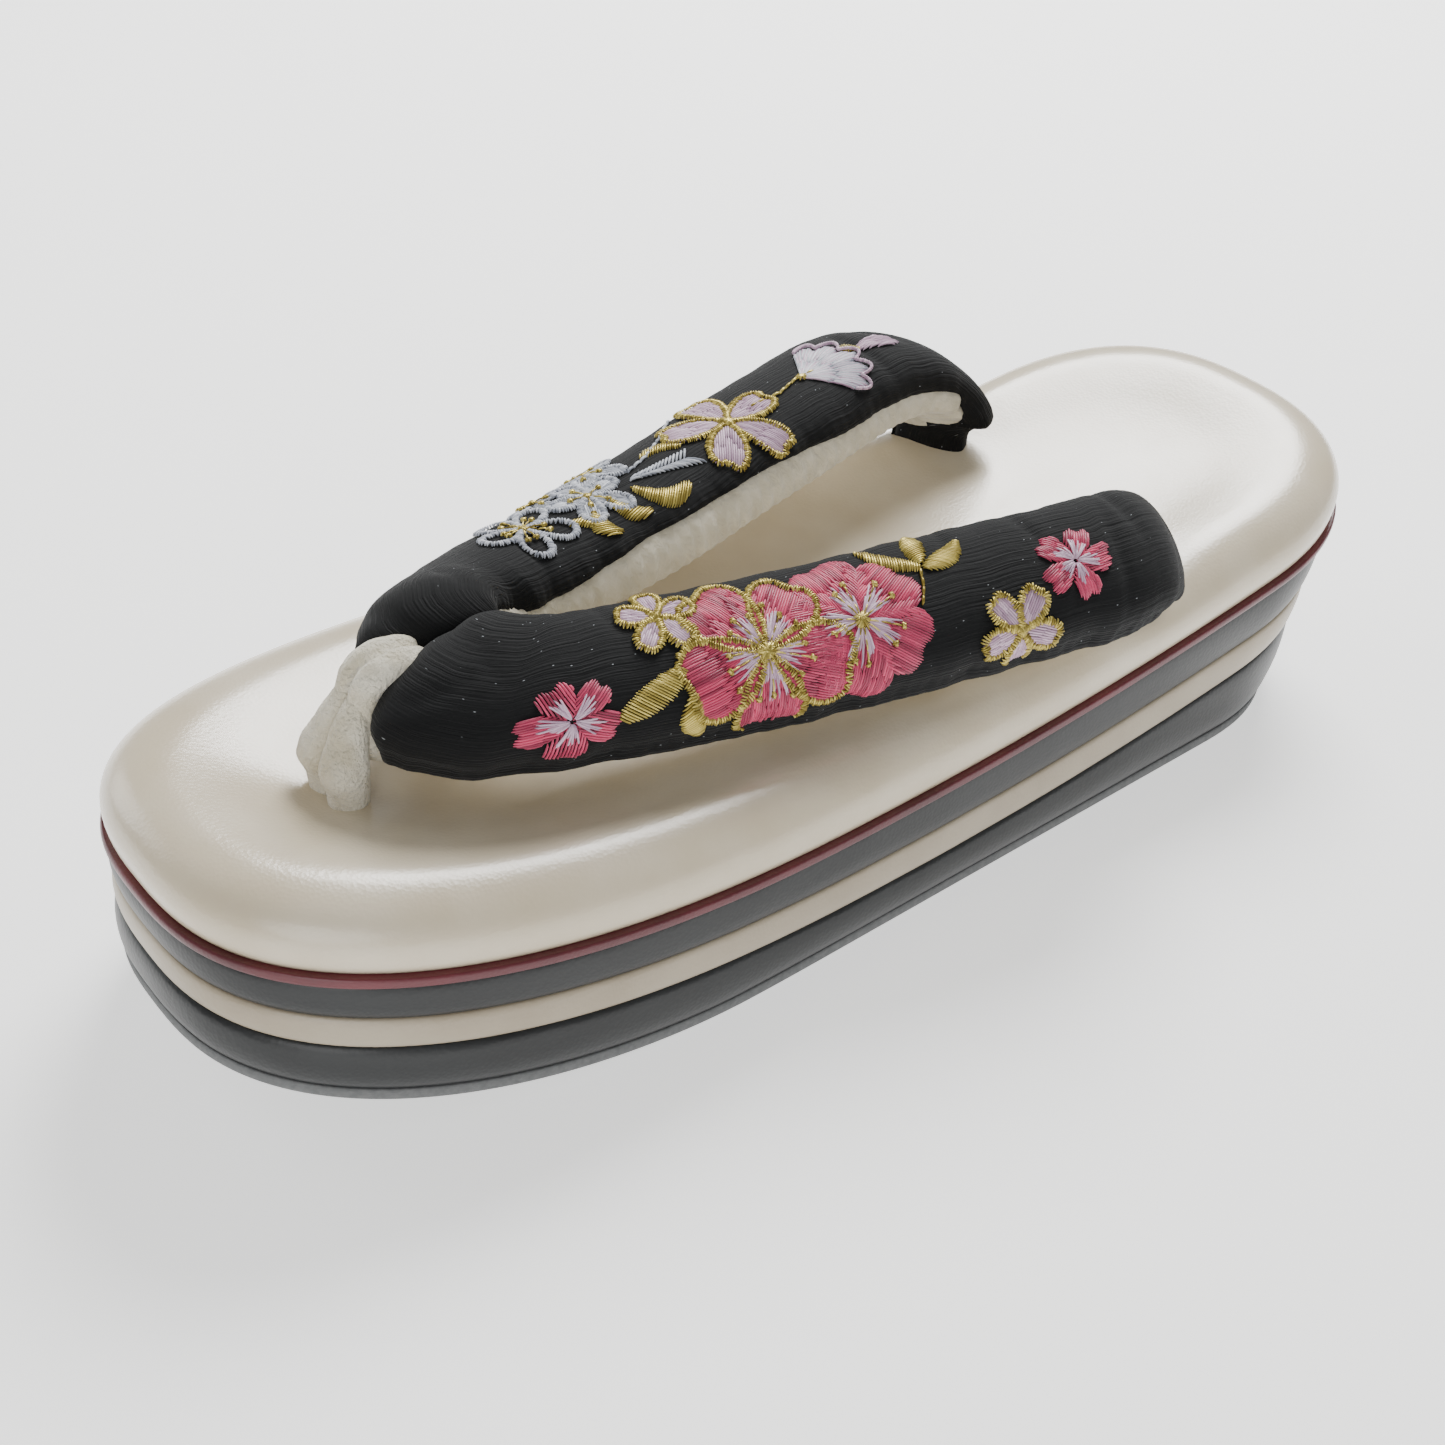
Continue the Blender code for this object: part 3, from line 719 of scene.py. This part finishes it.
rings = []
cloth = []
for station in whole_strap:
    inset = LINING_GAP - RIB_DEPTH * math.cos(2 * math.pi * station["gone"] / RIB_STEP)
    under = around(station, inset, np.linspace(2 * math.pi, math.pi, LINING_STEPS + 1))
    inner_tuck = HEM_TUCK * min(1.0, max(0.0, station["seam"] - math.pi) / HEM_GROWS)
    for i, point in enumerate(under):
        side_share = 1 - 2 * i / LINING_STEPS
        tuck = HEM_TUCK * max(0.0, side_share) - inner_tuck * max(0.0, -side_share)
        under[i] = point - station["across"] * tuck
    seam = min(station["seam"], math.pi)
    face = []
    for i in range(1, FACE_STEPS + 1):
        share = i / FACE_STEPS
        drawn = max(SEAM_INSET * share, inner_tuck)
        face += around(station, inset + drawn, [between(math.pi, seam - SEAM_UNDER, share)])
    over = around(station, LINING_GAP + COVER_WALL,
                  np.linspace(seam - 2 * SEAM_UNDER, 0, OVER_STEPS))
    rings.append(under + face + over)
    cloth.append(cloth_places(station, under + face, over))
lining = skin("flannel_lining", rings, flannel("off_white_flannel"), "flat", cloth)
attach(lining, "root")
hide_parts("strap_lining")


# Toe loop
# The real loop is a soft cord of cream velvet. Two strands come up side by side through the
# foot bed, go over the joined straps and back down through them, and bulge at the foot.
EYE_PLACE = -0.0772
EYE_RISE = 0.0099
EYE_LENGTH = 0.0114
EYE_HEIGHT = 0.0140
EYE_SQUARE = 0.75
STRAND_WIDTH = 0.0092
STRAND_THICK = 0.0054
VELVET_LUMP = 0.0022
VELVET_DEPTH = 0.00020
GROOVE_DEPTH = 0.48
GROOVE_WIDTH = 0.20
LOOP_STEPS = 72
LOOP_SIDES = 40
# The pile's tufts and its pressed places, in millimetres; the tufts are drawn coarse
PILE = 0.6667
WEAR = 5.556


def two_strands(centre, across, out, width, thick):
    """An oval section with a groove down the middle of both faces."""
    points = []
    for i in range(LOOP_SIDES):
        angle = 2 * math.pi * i / LOOP_SIDES
        groove = 1 - GROOVE_DEPTH * math.exp(-(math.cos(angle) / GROOVE_WIDTH) ** 2)
        points.append(centre + across * (width / 2 * math.cos(angle))
                      + out * (thick / 2 * math.sin(angle) * groove))
    return points


def velvet(name):
    """Cotton velvet: a deep soft pile that goes pale where it is seen from the side."""
    made = new_material(name, Roughness=0.95, Sheen_Weight=0.5, Sheen_Roughness=0.35,
                        Specular_IOR_Level=0.2)
    place = add_node(made, "ShaderNodeTexCoord").outputs["Object"]
    pile = add_node(made, "ShaderNodeTexNoise", {"Scale": per_metre(PILE), "Detail": 4.0},
                    {"Vector": place})
    wear = add_node(made, "ShaderNodeTexNoise", {"Scale": per_metre(WEAR), "Detail": 3.0},
                    {"Vector": place})
    tint(made, wear.outputs["Fac"], "#D6CDB4", "#EEE8D5", 0.35, 0.65)
    bump_chain(made, ((wear.outputs["Fac"], 0.8, 0.0010), (pile.outputs["Fac"], 1.0, 0.0009)))
    return made


eye = Vector((0, EYE_PLACE, pad_height(EYE_PLACE) + EYE_RISE))
rings = []
for i in range(LOOP_STEPS):
    angle = 2 * math.pi * i / LOOP_STEPS
    out = Vector((0, math.cos(angle), math.sin(angle)))
    forward = math.copysign(abs(out.y) ** EYE_SQUARE, out.y)
    upward = math.copysign(abs(out.z) ** EYE_SQUARE, out.z)
    reach = Vector((0, forward * EYE_LENGTH / 2, upward * EYE_HEIGHT / 2))
    rings.append(two_strands(eye + reach, Vector((1, 0, 0)), out, STRAND_WIDTH, STRAND_THICK))
rings.append(rings[0])
cream_velvet = velvet("cream_velvet")
loop = skin("velvet_loop", rings, cream_velvet, "flat")

# The foot's two strands. Their rows start under the foot bed's top: metres behind LOOP_PLACE,
# metres over the top, and shares of FOOT_SPREAD and of STRAND_FOOT
STRAND_FOOT = 0.0061
STRAND_OVAL = 1.12
FOOT_SPREAD = 0.0030
FOOT_STEPS = 6
FOOT_ROWS = (
    (0.0000, -0.0050, 0.90, 0.92),
    (0.0000, -0.0018, 1.00, 1.00),
    (-0.0006, 0.0012, 1.10, 1.14),
    (-0.0003, 0.0042, 1.02, 1.08),
    (0.0012, 0.0072, 0.80, 0.94),
    (0.0026, 0.0100, 0.66, 0.84),
    (0.0038, 0.0125, 0.56, 0.60),
)
bed_top = pad_height(LOOP_PLACE)
pieces = [loop]
for side, name in ((1, "velvet_strand_left"), (-1, "velvet_strand_right")):
    rings = []
    for back, up, spread, size in smooth_rows(FOOT_ROWS, FOOT_STEPS):
        middle = Vector((side * FOOT_SPREAD * spread, LOOP_PLACE + back, bed_top + up))
        radius = STRAND_FOOT / 2 * size
        turns = np.linspace(0, 2 * math.pi, LOOP_SIDES, endpoint=False)
        rings.append([middle + Vector((math.cos(a), STRAND_OVAL * math.sin(a), 0)) * radius
                      for a in turns])
    pieces.append(skin(name, rings, cream_velvet, "flat"))
for piece in pieces:
    for vertex in piece.data.vertices:
        vertex.co += vertex.normal * noise.noise(vertex.co / VELVET_LUMP) * VELVET_DEPTH
    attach(piece, "root")
    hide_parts("toe_loop")


# Embroidery
# The real blossoms are satin stitch in rayon thread, with edges, stamens and leaves in metal
# thread, worked on the crepe before it was sewn. They are common traditional flowers.
THREAD_SEED = 7
THREAD_THICKNESS = 0.00043
THREAD_SIDES = 5
TWIST = 0.3125
THREADS = {
    "pink": ("#8E1C40", "#D9486F"),
    "lilac": ("#A987A0", "#DCC0D2"),
    "silver": ("#868B97", "#D5D8E0"),
    "gold": ("#7C6A24", "#D8C56C"),
}
# Along each stitch: the places of its points, how far they lie over its level in metres, and
# how full the thread is there
STITCH_STOPS = (0.0, 0.16, 0.5, 0.84, 1.0)
STITCH_LIFTS = (-0.00018, 0.00012, 0.00022, 0.00012, -0.00018)
STITCH_FULLNESS = (0.45, 0.95, 1.0, 0.95, 0.45)
# How high each kind of stitch lies over the crepe, in metres
LEVELS = {"fill": 0.0001, "leaf": 0.0002, "streak": 0.00035, "edge": 0.0004, "stamen": 0.0005,
          "knot": 0.0006}
# From here to the feather, lengths are in millimetres and turns in degrees. Sizes, splits,
# roots and fullnesses are shares. Sizes, splits and ends are the least and the most that a
# random draw may give
SATIN_STEP = 0.40
SATIN_STEP_SIZES = (0.92, 1.08)
SATIN_ENDS = (-0.1, 0.25)
SATIN_LONGEST = 5.0
SATIN_SPLITS = (0.35, 0.65)
SATIN_OVERLAP = 0.4
EDGE_STEP = 0.42
EDGE_LENGTH = 1.3
EDGE_SIZES = (0.75, 1.25)
EDGE_SWAY = 22
EDGE_FULLNESS = 0.9
RUN_LENGTH = 1.8
RUN_FULLNESS = 1.3
KNOT_SIZES = (0.7, 1.1)
KNOT_LOOSE = 0.3
# A motif's place is along from the middle of the toe and across from the middle of the face
# towards the outer edge; its turn is 0 where it points to the heel and 90 to the outer edge.
# Blossoms: side, place, radius, turn, a petal's width and its notch as shares of its length,
# fill, how far the streaks reach as a share of the radius, edge, and stamens in each petal
BLOSSOMS = (
    ( 1, (24.5, 9.6), 6.8, 20, 0.86, 0.16, "pink", 0.62, None, 0),
    ( 1, (72.6, 3.0), 12.8, 36, 1.10, 0.12, "pink", 0.55, None, 2),
    ( 1, (55.0, 4.6), 14.6, 20, 1.00, 0.10, "pink", 0.50, "gold", 3),
    ( 1, (39.6, -4.8), 6.4, -18, 0.74, 0.06, "lilac", 0.00, "gold", 0),
    ( 1, (99.2, 11.2), 7.2, -50, 0.74, 0.10, "lilac", 0.00, "gold", 0),
    ( 1, (112.4, 2.3), 6.8, 10, 0.80, 0.16, "pink", 0.62, None, 0),
    (-1, (86.5, -4.6), 11.6, 6, 0.66, 0.12, "lilac", 0.00, "gold", 0),
    (-1, (38.0, -2.2), 8.0, 28, 0.70, 0.00, None, 0.00, "silver", 2),
    (-1, (53.0, -3.0), 7.0, -58, 0.66, 0.00, "silver", 0.00, "silver", 1),
    (-1, (60.5, 5.0), 6.4, 12, 0.66, 0.00, "silver", 0.00, "silver", 1),
    (-1, (48.5, 5.6), 5.6, 44, 0.62, 0.00, "silver", 0.00, None, 1),
)
# Leaves: side, start, end, width, and how far the middle bends as a share of the length
LEAVES = (
    ( 1, (30.6, 10.6), (41.2, 5.2), 4.4, 0.0),
    ( 1, (41.8, 8.8), (42.6, 16.6), 4.0, 0.1),
    ( 1, (86.2, -3.6), (78.0, -11.6), 3.2, -0.1),
    ( 1, (86.4, -4.6), (88.4, -12.8), 3.8, 0.0),
    ( 1, (86.8, -3.4), (95.0, -7.4), 3.8, 0.1),
    (-1, (49.8, -6.4), (50.6, -12.8), 3.8, -0.28),
    (-1, (54.6, -6.4), (59.0, -12.0), 3.6, -0.28),
    (-1, (60.0, -6.2), (69.4, -11.2), 4.4, -0.26),
    (-1, (44.6, -6.4), (47.6, -9.2), 2.2, 0.2),
    (-1, (69.0, -0.4), (76.0, -3.4), 2.6, 0.2),
    (-1, (118.5, -2.2), (122.5, -3.0), 2.6, 0.0),
)
# Vines: side, colour and the points that they run through
VINES = (
    (-1, "gold", ((93.0, -4.0), (100.0, -4.4), (106.0, -3.0), (110.0, -3.6))),
    (-1, "silver", ((64.0, -2.0), (70.0, -1.0), (76.0, 1.5), (84.0, 6.5))),
    ( 1, "gold", ((86.0, -3.6), (85.0, 0.0), (83.5, 3.0))),
)
PETALS = 5
PETAL_POINTS = 40
PETAL_FULL = 0.80
PETAL_TIP = 0.28
PETAL_ROOT = 0.05
PETAL_SIZES = (0.94, 1.06)
NOTCH_HALF = 0.16
STREAKS_PER_MM = 1.6
STREAK_ROOT = 0.06
STREAK_LEAN = 24
STREAK_SIZES = (0.55, 1.1)
STREAK_FULLNESS = 0.8
STAMEN_ROOT = 0.08
STAMEN_APART = 22
STAMEN_SWAY = 4
STAMEN_SIZES = (0.42, 0.56)
STAMEN_STITCH = 2.2
STAMEN_FULLNESS = 0.7
STAMEN_KNOT = 0.55
STAMEN_KNOT_STITCHES = 6
HEART_SHARE = 0.12
HEART_STITCHES = 22
LEAF_POINTS = 28
LEAF_STITCH_TURN = 62

draw = random.Random(THREAD_SEED)
stitches = {colour: [] for colour in THREADS}


def turned(point, degrees, centre=(0.0, 0.0)):
    """A flat point turned about the origin and then moved to a centre."""
    cosine = math.cos(math.radians(degrees))
    sine = math.sin(math.radians(degrees))
    return (centre[0] + point[0] * cosine - point[1] * sine,
            centre[1] + point[0] * sine + point[1] * cosine)


def sew(colour, side, start, end, level, fullness=1.0):
    """Keep one stitch, between two places on the face of a strap half."""
    stitches[colour].append((side, *start, *end, LEVELS[level], fullness))


def satin(colour, side, outline, way, level, split=True):
    """Fill an outline with stitches side by side; long ones are laid in two lengths."""
    points = [turned(point, -way) for point in outline]
    low = min(v for _, v in points) + SATIN_STEP / 2
    high = max(v for _, v in points)
    while low < high:
        hits = []
        for (u, v), (next_u, next_v) in zip(points, points[1:] + points[:1]):
            if (v - low) * (next_v - low) < 0:
                hits.append(u + (next_u - u) * (low - v) / (next_v - v))
        hits.sort()
        for left, right in zip(hits[::2], hits[1::2]):
            left -= draw.uniform(*SATIN_ENDS)
            right += draw.uniform(*SATIN_ENDS)
            runs = ((left, right),)
            if right - left > SATIN_LONGEST and split:
                middle = left + (right - left) * draw.uniform(*SATIN_SPLITS)
                runs = ((left, middle + SATIN_OVERLAP), (middle - SATIN_OVERLAP, right))
            for first, last in runs:
                sew(colour, side, turned((first, low), way), turned((last, low), way), level)
        low += SATIN_STEP * draw.uniform(*SATIN_STEP_SIZES)


def edging(colour, side, outline, level):
    """Short stitches across an outline, close together, as a raised satin edge."""
    rest = 0.0
    for (u, v), (next_u, next_v) in zip(outline, outline[1:] + outline[:1]):
        far = math.hypot(next_u - u, next_v - v)
        place = rest
        while place < far:
            share = place / far
            middle = (u + (next_u - u) * share, v + (next_v - v) * share)
            sway = draw.uniform(-EDGE_SWAY, EDGE_SWAY)
            lean = math.degrees(math.atan2(next_v - v, next_u - u)) + 90 + sway
            size = EDGE_LENGTH / 2 * draw.uniform(*EDGE_SIZES)
            sew(colour, side, turned((-size, 0), lean, middle), turned((size, 0), lean, middle),
                level, EDGE_FULLNESS)
            place += EDGE_STEP
        rest = place - far


def running(colour, side, points, level, length=RUN_LENGTH, fullness=RUN_FULLNESS):
    """A line of short stitches through points."""
    for start, end in zip(points, points[1:]):
        parts = max(1, round(math.dist(start, end) / length))
        stops = [(start[0] + (end[0] - start[0]) * i / parts,
                  start[1] + (end[1] - start[1]) * i / parts) for i in range(parts + 1)]
        for first, last in zip(stops, stops[1:]):
            sew(colour, side, first, last, level, fullness)


def knot(side, centre, radius, count, level="knot"):
    """A small raised gold knot: short stitches over one place in all directions."""
    for _ in range(count):
        way = draw.uniform(0, 180)
        size = radius * draw.uniform(*KNOT_SIZES)
        spot = turned((draw.uniform(0, radius * KNOT_LOOSE), 0), draw.uniform(0, 360), centre)
        sew("gold", side, turned((-size, 0), way, spot), turned((size, 0), way, spot), level)


def petal_outline(length, width, notch):
    """A petal that points along +u from its root, with a notch in its tip."""
    outline = []
    for i in range(PETAL_POINTS):
        angle = -math.pi + 2 * math.pi * (i + 0.5) / PETAL_POINTS
        u = length * (0.5 + 0.5 * math.cos(angle))
        v = width / 2 * math.sin(angle) * (PETAL_FULL + PETAL_TIP * math.cos(angle))
        if math.cos(angle) > 0:
            u -= notch * length * math.exp(-(v / (NOTCH_HALF * width)) ** 2)
        outline.append((u, v))
    return outline


for side, centre, radius, turn, width, notch, fill, streaks, edge, stamens in BLOSSOMS:
    for i in range(PETALS):
        way = turn + 360 / PETALS * i
        size = radius * draw.uniform(*PETAL_SIZES)
        outline = [turned((u + radius * PETAL_ROOT, v), way, centre)
                   for u, v in petal_outline(size, size * width, notch)]
        if fill:
            satin(fill, side, outline, way, "fill")
        if edge:
            edging(edge, side, outline, "edge")
        for _ in range(int(radius * STREAKS_PER_MM) if streaks else 0):
            lean = way + draw.uniform(-STREAK_LEAN, STREAK_LEAN)
            reach = radius * streaks * draw.uniform(*STREAK_SIZES)
            sew("lilac", side, turned((radius * STREAK_ROOT, 0), lean, centre),
                turned((reach, 0), lean, centre), "streak", STREAK_FULLNESS)
        for k in range(stamens):
            lean = way + STAMEN_APART * (k - (stamens - 1) / 2)
            lean += draw.uniform(-STAMEN_SWAY, STAMEN_SWAY)
            root = turned((radius * STAMEN_ROOT, 0), lean, centre)
            tip = turned((radius * draw.uniform(*STAMEN_SIZES), 0), lean, centre)
            running("gold", side, (root, tip), "stamen", STAMEN_STITCH, STAMEN_FULLNESS)
            knot(side, tip, STAMEN_KNOT, STAMEN_KNOT_STITCHES)
    if edge or stamens:
        knot(side, centre, radius * HEART_SHARE, HEART_STITCHES)

for side, start, end, width, bend in LEAVES:
    length = math.dist(start, end)
    way = math.degrees(math.atan2(end[1] - start[1], end[0] - start[0]))
    outline = []
    for i in range(LEAF_POINTS):
        angle = 2 * math.pi * (i + 0.5) / LEAF_POINTS
        share = 0.5 - 0.5 * math.cos(angle)
        v = width / 2 * math.sin(angle) + bend * length * math.sin(math.pi * share)
        outline.append(turned((share * length, v), way, start))
    satin("gold", side, outline, way + LEAF_STITCH_TURN, "leaf", split=False)

for side, colour, points in VINES:
    running(colour, side, points, "leaf")

# The fan-shaped flower, near the heel on the right half: stitches from its root to a
# scalloped edge, every third one lilac, and a bud behind it
FAN_ROOT = (106.5, -3.4)
FAN_REACH = 14.0
FAN_HALF = 50
FAN_TURN = -4
FAN_STITCHES = 90
FAN_LOBES = 5
FAN_SCALLOP = 0.16
FAN_DROOP = 0.16
FAN_ENDS = (0.94, 1.0)
FAN_SPLITS = (0.4, 0.6)
FAN_OVERLAP = 0.5
FAN_LILAC = 3
FAN_CORD = {"length": 1.6, "fullness": 1.5}
FAN_KNOT = 0.9
FAN_KNOT_STITCHES = 12
BUD_PLACE = (121.5, -3.0)
BUD_TURN = -8
BUD_SHAPE = {"length": 8.0, "width": 4.6, "notch": 0.1}
fan_edge = []
for i in range(FAN_STITCHES):
    off = 2 * i / (FAN_STITCHES - 1) - 1
    lean = FAN_TURN + FAN_HALF * off
    lobe = 1 - FAN_SCALLOP * (1 - abs(math.sin(math.pi * FAN_LOBES * i / (FAN_STITCHES - 1))))
    tip = FAN_REACH * lobe * (1 - FAN_DROOP * off ** 2)
    fan_edge.append(turned((tip, 0), lean, FAN_ROOT))
    reach = tip * draw.uniform(*FAN_ENDS)
    split = reach * draw.uniform(*FAN_SPLITS)
    colour = "silver" if i % FAN_LILAC else "lilac"
    sew(colour, -1, FAN_ROOT, turned((split + FAN_OVERLAP, 0), lean, FAN_ROOT), "fill")
    sew(colour, -1, turned((split, 0), lean, FAN_ROOT), turned((reach, 0), lean, FAN_ROOT), "fill")
running("lilac", -1, fan_edge, "edge", **FAN_CORD)
knot(-1, FAN_ROOT, FAN_KNOT, FAN_KNOT_STITCHES, "edge")
bud = [turned(point, BUD_TURN, BUD_PLACE) for point in petal_outline(**BUD_SHAPE)]
satin("lilac", -1, bud, BUD_TURN, "leaf")

# A silver feather beside the gold leaves: two rows of barbs from its quill, each barb with its
# reach along, its reach across, and how much the next one reaches further across
FEATHER_ROOT = (62.0, -4.2)
FEATHER_STEP = (0.80, -0.16)
FEATHER_BARBS = 15
FEATHER_ROWS = ((2.2, -0.8, -0.16), (2.4, 0.5, 0.10))
for i in range(FEATHER_BARBS):
    root = (FEATHER_ROOT[0] + FEATHER_STEP[0] * i, FEATHER_ROOT[1] + FEATHER_STEP[1] * i)
    for along, across, grows in FEATHER_ROWS:
        sew("silver", -1, root, (root[0] + along, root[1] + across + grows * i), "leaf")

# The face as a grid, in metres, where GRID_END keeps a place inside the last row, and how
# stitches are cut off at the seams
FACE_STEP = 0.0005
FACE_REACH = 0.0210
GRID_END = 1.001
SEAM_MARGIN = 0.0005
STITCH_TRIES = 9


def face_map(side):
    """A strap half's face as an even grid of points and outward normals, and half its width."""
    faces = np.array([[list(point) for point in cover_points(s)[HEM_STEPS:]]
                      for s in stations[side]])
    ways = np.cross(np.gradient(faces, axis=0), np.gradient(faces, axis=1))
    outward = faces - faces.mean(axis=1, keepdims=True)
    ways *= np.sign((ways * outward).sum(axis=2, keepdims=True))
    ways /= np.linalg.norm(ways, axis=2, keepdims=True)
    marks = np.arange(-FACE_REACH, FACE_REACH + FACE_STEP, FACE_STEP)
    grid = np.zeros((len(faces), len(marks), 6))
    halves = np.zeros(len(faces))
    for i, (points, normals) in enumerate(zip(faces, ways)):
        spots = walked(points)
        halves[i] = spots[-1] / 2
        for k, column in enumerate(np.hstack((points, normals)).T):
            grid[i, :, k] = np.interp(-marks, spots - halves[i], column)
    return grid, halves


def on_face(side, along, across, lift):
    """Points over the face at places in metres along and across, raised by a lift."""
    grid, _ = face_maps[side]
    row = np.clip(along / stations[side][1]["gone"], 0, len(grid) - GRID_END)
    column = np.clip((across + FACE_REACH) / FACE_STEP, 0, grid.shape[1] - GRID_END)
    i = row.astype(int)
    k = column.astype(int)
    up = (row - i)[:, None]
    over = (column - k)[:, None]
    mixed = ((grid[i, k] * (1 - over) + grid[i, k + 1] * over) * (1 - up)
             + (grid[i + 1, k] * (1 - over) + grid[i + 1, k + 1] * over) * up)
    return mixed[:, :3] + mixed[:, 3:] * lift[:, None]


def thread_mesh(name, rows):
    """Lines for stitches, cut off at the seams, with how full and how light each point is."""
    points = []
    edges = []
    fullness = []
    shades = []
    for side, *ends, level, full in rows:
        start = np.array(ends[:2]) / 1000
        end = np.array(ends[2:]) / 1000
        tries = start + (end - start) * np.linspace(0, 1, STITCH_TRIES)[:, None]
        halves = np.interp(tries[:, 0] / stations[side][1]["gone"],
                           np.arange(len(face_maps[side][1])), face_maps[side][1])
        inside = np.flatnonzero(np.abs(tries[:, 1]) < halves - SEAM_MARGIN)
        if len(inside) < 2:
            continue
        start = tries[inside[0]]
        end = tries[inside[-1]]
        places = start + (end - start) * np.array(STITCH_STOPS)[:, None]
        lifts = level + np.array(STITCH_LIFTS)
        base = len(points)
        points.extend(on_face(side, places[:, 0], places[:, 1], lifts).tolist())
        edges.extend((base + i, base + i + 1) for i in range(len(STITCH_STOPS) - 1))
        fullness.extend(full * value for value in STITCH_FULLNESS)
        shades.extend([draw.random()] * len(STITCH_STOPS))
    data = bpy.data.meshes.new(name)
    data.from_pydata(points, edges, [])
    data.attributes.new("fullness", "FLOAT", "POINT").data.foreach_set("value", fullness)
    data.attributes.new("shade", "FLOAT", "POINT").data.foreach_set("value", shades)
    return data


def thread_tree():
    """Geometry nodes that turn lines into threads of a thickness and a surface."""
    tree = bpy.data.node_groups.new("threads", "GeometryNodeTree")
    tree.interface.new_socket("Lines", in_out="INPUT", socket_type="NodeSocketGeometry")
    tree.interface.new_socket("Thickness", in_out="INPUT", socket_type="NodeSocketFloat")
    tree.interface.new_socket("Surface", in_out="INPUT", socket_type="NodeSocketMaterial")
    tree.interface.new_socket("Threads", in_out="OUTPUT", socket_type="NodeSocketGeometry")
    given = add_node(tree, "NodeGroupInput").outputs
    lines = add_node(tree, "GeometryNodeMeshToCurve", links={"Mesh": given["Lines"]})
    full = add_node(tree, "GeometryNodeInputNamedAttribute", {"Name": "fullness"},
                    data_type="FLOAT")
    radius = add_node(tree, "ShaderNodeMath", links={0: full.outputs["Attribute"],
                                                    1: given["Thickness"]}, operation="MULTIPLY")
    round_profile = add_node(tree, "GeometryNodeCurvePrimitiveCircle",
                             {"Resolution": THREAD_SIDES, "Radius": 0.5})
    tubes = add_node(tree, "GeometryNodeCurveToMesh", {"Fill Caps": True}, {
        "Curve": lines.outputs["Curve"], "Profile Curve": round_profile.outputs["Curve"],
        "Scale": radius.outputs["Value"]})
    real = add_node(tree, "GeometryNodeRealizeInstances",
                    links={"Geometry": tubes.outputs["Mesh"]})
    done = add_node(tree, "GeometryNodeSetMaterial", links={
        "Geometry": real.outputs["Geometry"], "Material": given["Surface"]})
    add_node(tree, "NodeGroupOutput", links={"Threads": done.outputs["Geometry"]})
    return tree


def grown(name, data, tree, **inputs):
    """Run a mesh through geometry nodes and keep the result as a plain mesh object."""
    source = show(name + "_source", data)
    change = source.modifiers.new("nodes", "NODES")
    change.node_group = tree
    for item in tree.interface.items_tree:
        if item.in_out == "INPUT" and item.name in inputs:
            change[item.identifier] = inputs[item.name]
    bpy.context.view_layer.update()
    depsgraph = bpy.context.evaluated_depsgraph_get()
    made = bpy.data.meshes.new_from_object(source.evaluated_get(depsgraph))
    bpy.data.objects.remove(source, do_unlink=True)
    made.name = name
    made.shade_smooth()
    return show(name, made)


def thread(name, dark, light, shine):
    """Twisted rayon or metal-wrapped thread: each stitch has its own shade and a silky gloss."""
    made = new_material(name, **shine)
    shade = add_node(made, "ShaderNodeAttribute", attribute_name="shade").outputs["Fac"]
    tint(made, shade, dark, light)
    place = add_node(made, "ShaderNodeTexCoord").outputs["Object"]
    twist = add_node(made, "ShaderNodeTexNoise", {"Scale": per_metre(TWIST), "Detail": 2.0},
                     {"Vector": place})
    bump_chain(made, ((twist.outputs["Fac"], 0.5, 0.0001),))
    return made


RAYON = {"Roughness": 0.42, "Sheen_Weight": 0.15, "Specular_IOR_Level": 0.5}
METAL_THREAD = {"Roughness": 0.34, "Metallic": 0.65, "Specular_IOR_Level": 0.6}
face_maps = {side: face_map(side) for side in (1, -1)}
threads = thread_tree()
for colour, (dark, light) in THREADS.items():
    shine = METAL_THREAD if colour == "gold" else RAYON
    surface = thread(colour + "_thread", dark, light, shine)
    piece = grown(colour + "_stitches", thread_mesh(colour, stitches[colour]), threads,
                  Thickness=THREAD_THICKNESS, Surface=surface)
    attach(piece, "root")
    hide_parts("strap_cover")
